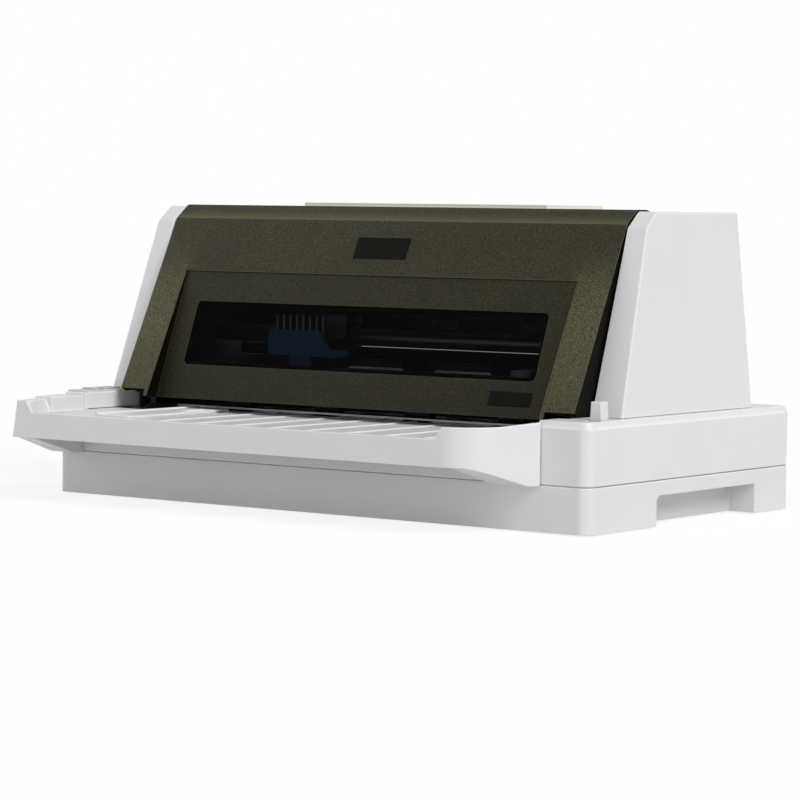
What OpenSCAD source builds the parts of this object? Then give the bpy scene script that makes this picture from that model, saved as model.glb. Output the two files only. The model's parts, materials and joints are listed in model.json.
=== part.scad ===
// Flatbed dot matrix printer with a hinged smoked front cover.
// X runs across the front, -Y is the front, Z is up, and Z = 0 is the table top.
// The origin is the middle of the footprint. Sizes are in millimetres.

/* [Case] */
// Width of the case across the front
body_w = 370; // [364:1:450]
// Depth of the case without the paper table
body_d = 212; // [200:1:260]
// How far the paper table reaches in front of the case
table_reach = 49; // [40:1:60]
// Height that the feet lift the case
foot_h = 1; // [1:0.5:4]
// Height of the joint between the lower and upper case
seam_z = 25.8; // [24:0.1:31]
// Height of the deck on top of the upper case
deck_z = 59.5; // [58:0.1:71]
// Height of the top of the side housings
top_z = 168.8; // [150:0.1:203]
// Thickness of the case walls
wall = 2.6; // [2:0.1:3.2]
// Radius of the upright corners of the case
corner_r = 7; // [5:0.5:9]
// Height of the sloped edge round the deck
deck_cham = 3.9; // [2:0.1:4.5]
// Open line between the lower and upper case
seam_gap = 0.6; // [0.3:0.1:1]

/* [Side housings] */
// Half of the gap between the two side housings
bay_half = 159.5; // [145:0.5:162]
// Distance from the case side to the foot of a housing
housing_inset = 6; // [4:0.5:8]
// How far a housing side leans in from foot to top
housing_lean = 7.5; // [3:0.5:10]
// Distance from the case front to the foot of a housing
housing_front = 40.5; // [36:0.5:48]
// How far a housing front leans back from foot to top bevel
housing_rake = 33; // [25:1:40]
// Height of the bevel along the top front edge
bevel_h = 8.8; // [5:0.2:12]
// Depth of the bevel along the top front edge
bevel_d = 10.5; // [6:0.5:12]
// Depth of the rear deck behind the housings
rear_deck = 35; // [30:1:45]

/* [Front cover] */
// Gap between the front cover and each housing
cover_gap = 0.8; // [0.5:0.1:1.2]
// Distance from the case front to the lower edge of the cover
cover_low_y = 25.8; // [22:0.2:28]
// Height of the lower edge of the cover above the deck
cover_low_z = 2.5; // [1:0.5:6]
// Distance from the case front to the bend near the top of the cover
cover_bend_y = 75; // [70:0.5:80]
// Drop from the cover's highest edge to its bend
cover_bend_drop = 8; // [6:0.5:10]
// Run of the bevel between the bend and the highest edge
cover_bevel = 10.4; // [8:0.2:12]
// Thickness of the cover skin
cover_t = 2.4; // [2:0.1:3]
// Half width of the recessed panel
panel_half = 137.6; // [120:0.5:145]
// Height of the top of the recessed panel above the deck
panel_top = 71.5; // [65:0.5:80]
// Depth of the recess at its lower edge
panel_sink = 9.5; // [6:0.5:10]
// Half width of the window
window_half = 123.5; // [100:0.5:125]
// Height of the window's lower edge above the deck
window_low = 17.2; // [14:0.2:22]
// Height of the window measured up the panel
window_tall = 39.2; // [30:0.2:42]
// Corner radius of the window
window_r = 3; // [2:0.5:5]
// Thickness of the window sheet
window_t = 1.6; // [1.2:0.1:1.8]
// Radius of the rounded back of the cover about its hinge
hinge_r = 8.2; // [6:0.2:9]
// Radius of the hinge pins
pin_r = 3; // [2:0.1:3.4]
// Thickness of the badge plate and the small plate
plate_t = 0.8; // [0.5:0.1:1.2]

/* [Paper table] */
// Height of the table's rib tops
paper_z = 50.6; // [49:0.1:52]
// Thickness of the table floor
floor_t = 2.2; // [1.8:0.1:2.6]
// Height of the low front lip above the table floor
lip_h = 0.6; // [0.3:0.1:2]
// Height of the table's side walls above the floor
side_wall_h = 7; // [5:0.5:8]
// Depth of the front face below the floor
apron_h = 14; // [10:0.5:16]
// How far the left side of the table leans in at the front
table_lean_l = 10; // [4:1:16]
// How far the right side of the table leans in at the front
table_lean_r = 12; // [4:1:16]
// Distance from the case side to the table's right joint
right_joint = 29.6; // [26:0.2:34]
// Plan radius of the table's right front corner
table_corner = 23; // [14:1:26]
// Distance between the paper ribs
rib_pitch = 25.7; // [20:0.1:30]
// Width of a paper rib
rib_w = 1.4; // [1:0.1:2]
// Height of a paper rib
rib_h = 0.6; // [0.4:0.1:0.8]
// Number of paper ribs
rib_n = 8; // [5:1:8]
// Width of the sliding edge guide
guide_w = 25; // [18:1:26]
// Length of the sliding edge guide from front to back
guide_len = 88; // [60:1:92]

/* [Print path] */
// Distance from the case front to the platen axis
print_y = 81.5; // [80:0.5:84]
// Radius of the platen
platen_r = 10; // [9:0.1:10.4]
// Radius of the lower feed rollers
feed_r = 7; // [6:0.1:7.2]
// Distance from the platen axis to the table's rear edge
table_gap = 22.3; // [22:0.1:23]
// Distance from the platen axis to the front feed axis
front_feed_gap = 19.4; // [19.2:0.1:20]
// Distance from the platen axis to the rear feed axis
rear_feed_gap = 19.4; // [19.2:0.1:20]
// Radius of the upper pressure rollers
press_r = 4.5; // [4:0.1:4.8]
// Radius of the rear exit rollers
exit_r = 6; // [5:0.1:6.2]
// Distance from the platen axis to the exit axis
exit_gap = 67; // [65:0.5:69]
// Height of the exit axis above the paper
exit_up = 25.4; // [24:0.1:27]
// Length of each rubber roller
roller_len = 18; // [14:1:22]
// Distance between neighbouring rubber rollers
roller_pitch = 64; // [50:1:66]
// Radius of the roller shafts
shaft_r = 3; // [2.4:0.1:3.2]
// Air between a shaft and its bearing hole
run_fit = 0.05; // [0.02:0.01:0.1]
// Air between a roller and the sheet plane
sheet_air = 0.3; // [0.2:0.1:0.5]
// Thickness of the steel side frames
frame_t = 1.6; // [1.2:0.1:2]
// Half distance between the side frames' inner faces
frame_half = 149.2; // [140:0.2:150]
// Tooth module of the gears
gear_m = 1; // [0.98:0.01:1]
// Face width of the gears
gear_w = 4; // [3:0.5:5]

/* [Carriage] */
// Distance from the platen axis to the guide shaft
rail_gap = 22; // [21:0.5:24]
// Height of the guide shaft above the paper
rail_up = 42.9; // [41:0.1:45]
// Radius of the guide shaft
rail_r = 5; // [4:0.1:5.4]
// Place of the print head at rest, from the middle
head_x = -60; // [-100:1:100]
// Half width of the print head body
head_half = 12; // [10:0.5:12.5]
// Number of cooling fins on the print head
fin_n = 8; // [5:1:9]
// Distance between the cooling fins
fin_pitch = 4.8; // [4:0.1:5]
// Radius of the belt pulleys
pulley_r = 6; // [5:0.1:6.4]
// Distance from the middle to each pulley axis
pulley_x = 133; // [128:0.5:133.5]
// Half length of the ribbon cartridge
cart_half = 141; // [136:0.5:142]
// Height of the ribbon cartridge
cart_h = 15.5; // [12:0.5:16]
// Depth of the ribbon cartridge
cart_d = 19; // [15:0.5:19]

/* [Hidden] */

$fn = 48;
eps = 0.01;
snug = 0.15;
flat_fit = 0.3;
side_x = body_w / 2;
total_d = body_d + table_reach;
front_y = -total_d / 2 + table_reach;
back_y = total_d / 2;
table_y = -total_d / 2;
case_floor_z = foot_h + wall;
rest_z = case_floor_z + 4.5;
floor_z = paper_z - rib_h;
table_under_z = floor_z - floor_t;
// Side housings
foot_x = side_x - housing_inset;
lean = housing_lean / (top_z - deck_z);
hf_y = front_y + housing_front;
hb_y = back_y - rear_deck;
hbt_y = hb_y - 7;
house_bend_z = top_z - bevel_h;
house_bend_y = hf_y + housing_rake;
house_top_y = house_bend_y + bevel_d;
house_rake = housing_rake / (house_bend_z - deck_z);
// Front cover, as heights and depths of its outer line
cover_x = bay_half - cover_gap;
cover_top_z = top_z + 0.9;
cb_z = cover_top_z - cover_bend_drop;
cb_y = front_y + cover_bend_y;
cl_z = deck_z + cover_low_z;
cl_y = front_y + cover_low_y;
ct_y = cb_y + cover_bevel;
cover_slope = (cb_y - cl_y) / (cb_z - cl_z);
function cover_at(z) = cl_y + (z - cl_z) * cover_slope;
panel_top_z = deck_z + panel_top;
panel_low_z = deck_z - 2.9;
panel_top_y = cover_at(panel_top_z) + 0.8;
panel_low_y = cover_at(panel_low_z) + panel_sink;
panel_slope = (panel_top_y - panel_low_y) / (panel_top_z - panel_low_z);
panel_tilt = atan(panel_slope);
function panel_at(z) = panel_low_y + (z - panel_low_z) * panel_slope;
function house_at(z) = hf_y + (z - deck_z) * house_rake;
hinge_y = ct_y + hinge_r;
hinge_z = cover_top_z - hinge_r;
window_z = deck_z + window_low;
// Paper path
print_ay = front_y + print_y;
platen_z = paper_z + 0.4 - sheet_air - platen_r;
feed_z = paper_z + 0.4 - sheet_air - feed_r;
press_z = paper_z + 0.4 + sheet_air + press_r;
sheet_z = paper_z + 0.4;
front_feed_y = print_ay - front_feed_gap;
rear_feed_y = print_ay + rear_feed_gap;
exit_y = print_ay + exit_gap;
exit_z = sheet_z + exit_up;
press_lift = 0.8;
press_shaft_r = 2;
guide_t = 1.2;
guide_top_z = sheet_z - 0.4;
// Gears outside the right side frame
gear_x = frame_half + frame_t + 0.8;
platen_teeth = 20;
feed_teeth = 14;
idler_teeth = 14;
pinion_teeth = 10;
exit_teeth = 12;
exit_idler_teeth = 24;
function pitch_r(n) = gear_m * n / 2;
function mesh_d(a, b) = gear_m * (a + b) / 2;
// Point at distance ra from a and rb from b, on the side given by s
function meet(a, ra, b, rb, s) =
    let (d = norm(b - a), u = (b - a) / d, k = (ra * ra - rb * rb + d * d) / (2 * d),
         h = sqrt(ra * ra - k * k))
    a + k * u + s * h * [-u[1], u[0]];
platen_p = [print_ay, platen_z];
front_feed_p = [front_feed_y, feed_z];
rear_feed_p = [rear_feed_y, feed_z];
exit_p = [exit_y, exit_z];
front_idler_p = meet(platen_p, mesh_d(platen_teeth, idler_teeth),
                     front_feed_p, mesh_d(feed_teeth, idler_teeth), 1);
rear_idler_p = meet(platen_p, mesh_d(platen_teeth, idler_teeth),
                    rear_feed_p, mesh_d(feed_teeth, idler_teeth), -1);
pinion_p = rear_idler_p + mesh_d(pinion_teeth, idler_teeth) * [cos(45), -sin(45)];
exit_a_p = rear_feed_p + mesh_d(feed_teeth, exit_idler_teeth) * [cos(22), sin(22)];
exit_b_p = meet(exit_a_p, mesh_d(exit_idler_teeth, exit_idler_teeth),
                exit_p, mesh_d(exit_teeth, exit_idler_teeth), -1);
stub_r = 2;
// Carriage
rail_y = print_ay + rail_gap;
rail_z = sheet_z - 0.4 + rail_up;
belt_y = rail_y + 14;
belt_z = rail_z - rail_r - 7.6;
belt_h = 6;
belt_t = 1.2;
rear_rail_y = rail_y + 26;
rear_rail_top = rail_z + 15.5;
carriage_half = 14;
motor_r = 16;
car_motor_r = 11;
motor_plate_z = rail_z + rail_r + 0.8;
// Ribbon cartridge
cart_z = press_z + press_r + press_lift + 1.2;
cart_back = print_ay - 18;
peg_r = 3;
// Release lever and its shaft
release_y = front_y + 21.5;
release_z = table_under_z - 8;
release_r = 2.5;
lever_x = side_x - 8;
// Plateaus beside the table
left_edge_x = -side_x + 21;
right_edge_x = side_x - right_joint - 2.6;
// Edge guide
guide_x = -105;
guide_slot_w = 6;

module box(x0, x1, y0, y1, z0, z1) {
    translate([x0, y0, z0]) cube([x1 - x0, y1 - y0, z1 - z0]);
}
// Round bar along X
module rod(x0, x1, y, z, r) {
    translate([x0, y, z]) rotate([0, 90, 0]) cylinder(h = x1 - x0, r = r);
}
// Outline of depth and height pushed along X
module yz(points, x0, x1) {
    translate([x0, 0, 0]) rotate([90, 0, 90]) linear_extrude(x1 - x0) polygon(points);
}
// Outline of width and height pushed along Y
module xz(points, y0, y1) {
    translate([0, y1, 0]) rotate([90, 0, 0]) linear_extrude(y1 - y0) polygon(points);
}
// Rectangle with round corners, given by its edges
module round_rect(x0, x1, y0, y1, r) {
    translate([x0 + r, y0]) square([x1 - x0 - 2 * r, y1 - y0]);
    translate([x0, y0 + r]) square([x1 - x0, y1 - y0 - 2 * r]);
    for (x = [x0 + r, x1 - r], y = [y0 + r, y1 - r])
        translate([x, y]) circle(r);
}
module round_block(inset, z0, z1) {
    translate([0, 0, z0]) linear_extrude(z1 - z0)
        round_rect(-side_x + inset, side_x - inset, front_y + inset, back_y - inset, corner_r - inset * 0.7);
}
module mirror_x() {
    children();
    mirror([1, 0, 0]) children();
}
// Spur gear about the X axis, with straight tapered teeth
module gear(teeth, x0, p, bore, phase = 0) {
    step = 360 / teeth;
    r_out = pitch_r(teeth) + gear_m * 0.9;
    r_in = pitch_r(teeth) - gear_m * 1.2;
    points = [for (i = [0 : teeth - 1], k = [[-0.29, 0], [-0.1, 1], [0.1, 1], [0.29, 0]])
        let (a = (i + k[0]) * step + phase, r = k[1] == 0 ? r_in : r_out)
        [r * cos(a), r * sin(a)]];
    translate([0, p[0], p[1]]) difference() {
        yz(points, x0, x0 + gear_w);
        rod(x0 - 1, x0 + gear_w + 1, 0, 0, bore);
    }
}
// Angle from point a to point b, in degrees
function toward(a, b) = atan2(b[1] - a[1], b[0] - a[0]);

// Lower case: a tub with a hand recess in each side
hand_y0 = front_y + 67;
hand_y1 = front_y + 171.5;
hand_z = 17.5;
hand_in = 17;
post_r = 4;
screw_r = 1.5;
screw_fit = 0.05;
post_places = [for (x = [-side_x + 12, side_x - 12], y = [front_y + 8, front_y + 55, back_y - 12]) [x, y]];
foot_places = [for (x = [-side_x + 34, side_x - 34], y = [front_y + 16, back_y - 16]) [x, y]];
inlet_x = 118;
inlet_w = 27;
inlet_h = 19;
inlet_z = case_floor_z + 1.4;
switch_x = 92;
port_x = -96;
port_w = 58;
port_z = rest_z + 1.6;
port_h = 11.6;
usb_x = -42;
frame_feet_y = [print_ay - 18, print_ay + 74];
module hand_void(x) {
    difference() {
        box(x, x + hand_in + 10, hand_y0, hand_y1, foot_h - 1, hand_z);
        translate([x - 1, hand_y0, hand_z]) rotate([0, 90, 0])
            difference() {
                translate([0, 0, 0]) cube([8, 8, hand_in + 12], center = false);
                translate([4, 4, -1]) cylinder(h = hand_in + 14, r = 4);
                translate([4, -1, -1]) cube([8, 10, hand_in + 14]);
                translate([-1, 4, -1]) cube([10, 8, hand_in + 14]);
            }
    }
}
module lower_case() {
    color("#c2c2c2") difference() {
        union() {
            difference() {
                union() {
                    round_block(0, foot_h, seam_z - seam_gap / 2);
                    round_block(wall / 2 + snug, seam_z - seam_gap, seam_z + 2.4);
                }
                round_block(wall, case_floor_z, seam_z + 5);
            }
            mirror_x() box(side_x - hand_in - wall, side_x - wall / 2, hand_y0 - wall, hand_y1 + wall,
                foot_h, hand_z + wall);
            for (p = post_places) translate([p[0], p[1], foot_h + 0.5])
                cylinder(h = seam_z - foot_h - 0.5, r = post_r);
            for (x = [-1, 1], y = frame_feet_y)
                translate([x * (frame_half - 6), y, foot_h + 0.5]) cylinder(h = rest_z - foot_h - 0.5, r = 5);
            for (x = [-130, -20], y = [back_y - 86, back_y - 14])
                translate([x, y, foot_h + 0.5]) cylinder(h = rest_z - foot_h - 0.5, r = 3);
            for (x = [36, 129], y = [back_y - 80, back_y - 28])
                translate([x, y, foot_h + 0.5]) cylinder(h = rest_z - foot_h - 0.5, r = 3);
        }
        mirror_x() hand_void(side_x - hand_in);
        for (p = post_places) {
            translate([p[0], p[1], foot_h - 1]) cylinder(h = seam_z + 2, r = screw_r + screw_fit);
            translate([p[0], p[1], foot_h - 1]) cylinder(h = 1 + 3, r = 3.2);
        }
        for (p = foot_places) translate([p[0], p[1], foot_h - 1]) cylinder(h = wall + 4, r = 2.5);
        box(inlet_x - inlet_w / 2, inlet_x + inlet_w / 2, back_y - wall - 1, back_y + 1, inlet_z, inlet_z + inlet_h);
        box(switch_x - 7, switch_x + 7, back_y - wall - 1, back_y + 1, inlet_z, inlet_z + inlet_h);
        box(port_x - port_w / 2, port_x + port_w / 2, back_y - wall - 1, back_y + 1, port_z, port_z + port_h);
        box(usb_x - 7, usb_x + 7, back_y - wall - 1, back_y + 1, port_z, port_z + port_h);
    }
}

// Upper case: the skirt and the deck that carries the housings
bay_front = hf_y - 20;
module deck_outer() {
    z1 = deck_z - deck_cham;
    slope_in = 2;
    round_block(0, seam_z + seam_gap / 2, z1);
    yz([[front_y, z1 - eps], [back_y, z1 - eps], [back_y, z1], [back_y - slope_in, deck_z],
        [front_y + slope_in, deck_z], [front_y, z1]], -side_x + corner_r, side_x - corner_r);
    xz([[-side_x, z1 - eps], [side_x, z1 - eps], [side_x, z1], [side_x - slope_in, deck_z],
        [-side_x + slope_in, deck_z], [-side_x, z1]], front_y + corner_r, back_y - corner_r);
    for (x = [-1, 1], y = [front_y + corner_r, back_y - corner_r])
        translate([x * (side_x - corner_r), y, z1 - eps])
            cylinder(h = deck_z - z1 + eps, r1 = corner_r, r2 = corner_r - slope_in);
}
module upper_case() {
    color("#cfcfcf") difference() {
        union() {
            difference() {
                deck_outer();
                round_block(wall / 2, seam_z - 1, seam_z + 2.4 + snug);
                round_block(wall, seam_z - 1, deck_z - wall);
                box(-foot_x + 4, foot_x - 4, hf_y + 5, hb_y - 6, deck_z - 8, deck_z + 1);
                box(-bay_half + 1.5, bay_half - 1.5, bay_front, hf_y + 6, deck_z - 8, deck_z + 1);
                box(left_edge_x, right_edge_x, front_y - 1, hf_y + 10, table_under_z - 1.4, deck_z + 1);
            }
            box(left_edge_x - 2, left_edge_x, front_y + wall - 1, hf_y + 8, floor_z + flat_fit, deck_z - 1);
            box(right_edge_x, right_edge_x + 2, front_y + wall - 1, hf_y + 8, floor_z + flat_fit, deck_z - 1);
            for (p = post_places) translate([p[0], p[1], seam_z])
                cylinder(h = deck_z - seam_z - 1, r = post_r);
        }
        for (p = post_places) translate([p[0], p[1], seam_z - 1]) cylinder(h = 13, r = screw_r + screw_fit);
        box(lever_x - 4.6, lever_x + 4.6, release_y - 9, release_y + 5, deck_z - wall - 1, deck_z + 1);
        for (k = [0, 1, 2]) button_hole(k);
        for (k = [0, 1, 2]) lens_hole(k);
    }
}

// Side housings, closed boxes that stand on the deck
function lean_x(z) = foot_x - (z - deck_z) * lean;
module housing_outline(inset) {
    yz([[hf_y + inset * 1.1, deck_z - (inset > 0 ? 1 : 0)], [house_bend_y + inset, house_bend_z - inset * 0.4],
        [house_top_y + inset * 0.5, top_z - inset], [hbt_y - inset, top_z - inset],
        [hb_y - inset * 1.05, deck_z - (inset > 0 ? 1 : 0)]], bay_half - 5, foot_x + 5);
}
module housing_plan(inset) {
    xz([[bay_half + (inset > 0 ? 2 : 0), deck_z - 2], [lean_x(deck_z - 2) - inset, deck_z - 2],
        [lean_x(top_z + 2) - inset, top_z + 2], [bay_half + (inset > 0 ? 2 : 0), top_z + 2]], front_y, back_y);
}
module right_housing() {
    color("#d4d4d4") difference() {
        intersection() {
            housing_outline(0);
            housing_plan(0);
        }
        intersection() {
            housing_outline(wall);
            housing_plan(wall);
        }
        rod(bay_half - 1, bay_half + 4, hinge_y, hinge_z, pin_r + run_fit);
    }
}
module left_housing() {
    color("#d4d4d4") mirror([1, 0, 0]) right_housing();
}

// Rear housing: back wall and top deck between the side housings
lid_half = 88;
lid_front = hinge_y + hinge_r + 4;
lid_back = hbt_y - 11;
lid_t = 3.1;
lid_pin_r = 1.5;
exit_low_z = exit_z + 2;
exit_high_z = exit_z + 18;
module rear_housing() {
    color("#d2d2d2") difference() {
        union() {
            yz([[hb_y, deck_z], [hbt_y, top_z - 0.2], [hbt_y - wall, top_z - 0.2], [hb_y - wall, deck_z]],
                -bay_half, bay_half);
            box(-bay_half, bay_half, hinge_y + hinge_r + 0.7, hbt_y - 1, top_z - 0.2 - wall, top_z - 0.2);
            mirror_x() box(lid_half - 14, lid_half - 10, lid_back - 4, lid_back + 4, top_z - 0.2 - wall, top_z + 2.9);
        }
        box(-lid_half + 8, lid_half - 8, lid_front + 6, lid_back - 8, top_z - wall - 2, top_z + 1);
        box(-136, 136, hbt_y - wall - 4, hb_y + 2, exit_low_z, exit_high_z);
        rod(-lid_half - 6, lid_half + 6, lid_back, top_z + 1.4, lid_pin_r + run_fit);
    }
}
module top_lid() {
    z0 = top_z - 0.2;
    color("#bdb9ae") {
        translate([0, 0, z0]) linear_extrude(lid_t)
            polygon([[-lid_half, lid_front + 3], [-lid_half + 2, lid_front], [lid_half - 2, lid_front],
                [lid_half, lid_front + 3], [lid_half, lid_back - 5], [-lid_half, lid_back - 5]]);
        for (x = [-1, 1]) {
            yz([[lid_back - 6, z0], [lid_back, top_z - 0.1], [lid_back + 1.5, top_z + 1.4],
                [lid_back, top_z + 2.9], [lid_back - 6, z0 + lid_t]], x * (lid_half - 4) - 4, x * (lid_half - 4) + 4);
            rod(x * (lid_half - 11.5) - 4, x * (lid_half - 11.5) + 4, lid_back, top_z + 1.4, lid_pin_r);
        }
    }
}

// Paper table with its side walls, ribs and under-brackets
table_left_front = -side_x + table_lean_l;
joint_x = side_x - right_joint;
table_right_front = joint_x - table_lean_r;
table_back_y = print_ay - table_gap;
apron_z = floor_z - apron_h;
wall_top_z = floor_z + side_wall_h;
rib_x0 = -68;
notch_l = -160;
notch_r = 122;
notch_run = 5;
plateau_y = front_y - 28;
corner_turn = 90 - atan(table_lean_r / table_reach);
corner_t = table_corner * tan(corner_turn / 2);
corner_c = [table_right_front - corner_t, table_y + table_corner];
bracket_y = front_y - 8;
bracket_z = seam_z - 0.6;
module table_plan(inset) {
    union() {
        polygon([[table_left_front + inset, table_y + inset], [corner_c[0], table_y + inset],
            corner_c,
            corner_c + (table_corner - inset) * [sin(corner_turn), -cos(corner_turn)],
            [joint_x - inset, front_y], [-side_x + 0.9 + inset, front_y]]);
        translate(corner_c) intersection() {
            circle(table_corner - inset);
            polygon([[-1, 2], [-1, -2 * table_corner], [2 * table_corner, -2 * table_corner],
                2 * table_corner * [sin(corner_turn), -cos(corner_turn)] + [0, 2]]);
        }
    }
}
// Space under the sloped lower edge of the table
module under_slope() {
    yz([[table_y - 5, apron_z - 60], [table_y - 5, apron_z], [table_y + 4, apron_z],
        [bracket_y, bracket_z], [front_y + 50, bracket_z], [front_y + 50, apron_z - 60]], -side_x - 5, side_x + 5);
}
// Left side of the table, seen along its top edge: how far it stands out at height z
ridge_in = 3.8;
ridge_w = 7.6;
ridge_draft = 0.155;
ridge_turn = atan2(table_reach, -(side_x - 0.9 + table_left_front + ridge_in));
module along_left(points) {
    translate([table_left_front + ridge_in, table_y, 0]) rotate([0, 0, ridge_turn]) yz(points, -8, table_reach + 1.5);
}
module left_ridge() {
    intersection() {
        along_left([[0, wall_top_z], [-ridge_w, wall_top_z], [-ridge_w - side_wall_h / 2, floor_z - eps],
            [side_wall_h * ridge_draft, floor_z - eps]]);
        translate([0, 0, floor_z - 1]) linear_extrude(side_wall_h + 2) table_plan(0);
    }
}
module left_draft() {
    along_left([[-2 * ridge_draft, wall_top_z + 2], [35 * ridge_draft, wall_top_z - 35], [40, wall_top_z - 35],
        [40, wall_top_z + 2]]);
}
function slope_z(y) = apron_z + (bracket_z - apron_z) * (y - table_y - 4) / (bracket_y - table_y - 4);
module table_shell() {
    difference() {
        translate([0, 0, bracket_z - 1]) linear_extrude(wall_top_z - bracket_z + 1) table_plan(0);
        translate([0, 0, floor_z]) linear_extrude(20) table_plan(2);
        translate([0, 0, bracket_z - 5]) linear_extrude(table_under_z - bracket_z + 5) intersection() {
            table_plan(2.2);
            polygon([[table_left_front + ridge_in + 4, table_y - 1], [side_x, table_y - 1], [side_x, front_y + 1],
                [-side_x + 5, front_y + 1]]);
        }
        under_slope();
    }
}
// Top of the right side wall, which rises to the deck
module right_rise() {
    intersection() {
        translate([0, 0, wall_top_z - eps]) linear_extrude(3) difference() {
            table_plan(0);
            table_plan(2);
        }
        yz([[table_y + table_corner, wall_top_z - 1], [front_y, wall_top_z - 1], [front_y, wall_top_z + 1.5],
            [table_y + table_corner, wall_top_z]], right_edge_x - 40, joint_x + 1);
    }
}
module table_bracket(x0, x1) {
    difference() {
        translate([0, 0, bracket_z - 1]) linear_extrude(table_under_z - bracket_z + 1 + eps)
            intersection() {
                table_plan(0.5);
                translate([x0, table_y - 1]) square([x1 - x0, table_reach + 1 - 0.2]);
            }
        under_slope();
        yz([[table_y + 12, table_under_z + 4], [table_y + 12, slope_z(table_y + 12) + 3],
            [bracket_y, bracket_z + 3], [front_y + 5, bracket_z + 3], [front_y + 5, table_under_z + 4]],
            x0 + 2.4, x1 - 2.4);
    }
}
module paper_table() {
    color("#d0d0d0") difference() {
        union() {
            table_shell();
            left_ridge();
            right_rise();
            table_bracket(-side_x + 0.9, left_edge_x - 0.5);
            table_bracket(joint_x - 26, joint_x);
            box(left_edge_x + flat_fit, right_edge_x - flat_fit, front_y - eps, table_back_y,
                table_under_z, floor_z);
            for (i = [0 : rib_n - 1])
                box(rib_x0 + i * rib_pitch - rib_w / 2, rib_x0 + i * rib_pitch + rib_w / 2,
                    table_y + 2, table_back_y, floor_z - eps, paper_z);
            translate([0, 0, floor_z - eps]) linear_extrude(side_wall_h + 1.2)
                intersection() {
                    table_plan(1.2);
                    translate([-side_x, plateau_y]) square([21, front_y - plateau_y - 0.2]);
                }
            for (x = [-40, 40, 110]) box(x - 8, x + 8, front_y - 6, front_y + wall + 3,
                table_under_z - 1.2, table_under_z + eps);
        }
        left_draft();
        // Open joint between the right side wall and the case
        box(right_edge_x, joint_x + 1, front_y - 0.7, front_y + 1, bracket_z - 5, wall_top_z + 2);
        // Low lip along the front
        xz([[notch_l - notch_run, wall_top_z + 1], [notch_l, floor_z + lip_h], [notch_r, floor_z + lip_h],
            [notch_r + notch_run, wall_top_z + 1]], table_y - 1, table_y + 2 + eps);
        // Groove that the edge guide slides in
        box(guide_x - guide_left - guide_neck - 0.5, guide_x + guide_right + guide_neck + 0.5,
            guide_slot_y - guide_slot_w / 2, guide_slot_y + guide_slot_w / 2, table_under_z - 1, floor_z + 1);
        // Notches for the front feed rollers
        for (x = roller_xs) box(x - roller_len / 2 - 1, x + roller_len / 2 + 1,
            front_feed_y - feed_r - 0.6, table_back_y + 1, table_under_z - 1, paper_z + 1);
        // Clearance for the release fingers beside the paper
        mirror_x() box(frame_half - 9, side_x, release_y + 5, table_back_y + 1, table_under_z - 1, paper_z + 1);
    }
}
guide_front_y = table_y + 6;
guide_slot_y = guide_front_y + guide_len - 9;
guide_neck = 8;
guide_left = 21;
guide_right = 14;
guide_h = 1.6;
module edge_guide() {
    color("#dadada") difference() {
        union() {
            box(guide_x - guide_w / 2, guide_x + guide_w / 2, guide_front_y, guide_front_y + guide_len,
                floor_z, floor_z + guide_h);
            box(guide_x - guide_w / 2, guide_x - guide_w / 2 + 2, guide_front_y, guide_front_y + guide_len,
                floor_z, floor_z + guide_h + 0.8);
            box(guide_x - guide_neck, guide_x + guide_neck, guide_slot_y - guide_slot_w / 2 + flat_fit,
                guide_slot_y + guide_slot_w / 2 - flat_fit, table_under_z - 0.1 - eps, floor_z + eps);
            box(guide_x - guide_neck, guide_x + guide_neck, guide_slot_y - 5, guide_slot_y + 5,
                table_under_z - 1.3, table_under_z - 0.1);
        }
        box(guide_x + 2, guide_x + guide_w / 2 - 2, guide_front_y + guide_len - 34, guide_front_y + guide_len - 12,
            floor_z + 0.6, floor_z + 5);
    }
}

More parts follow.
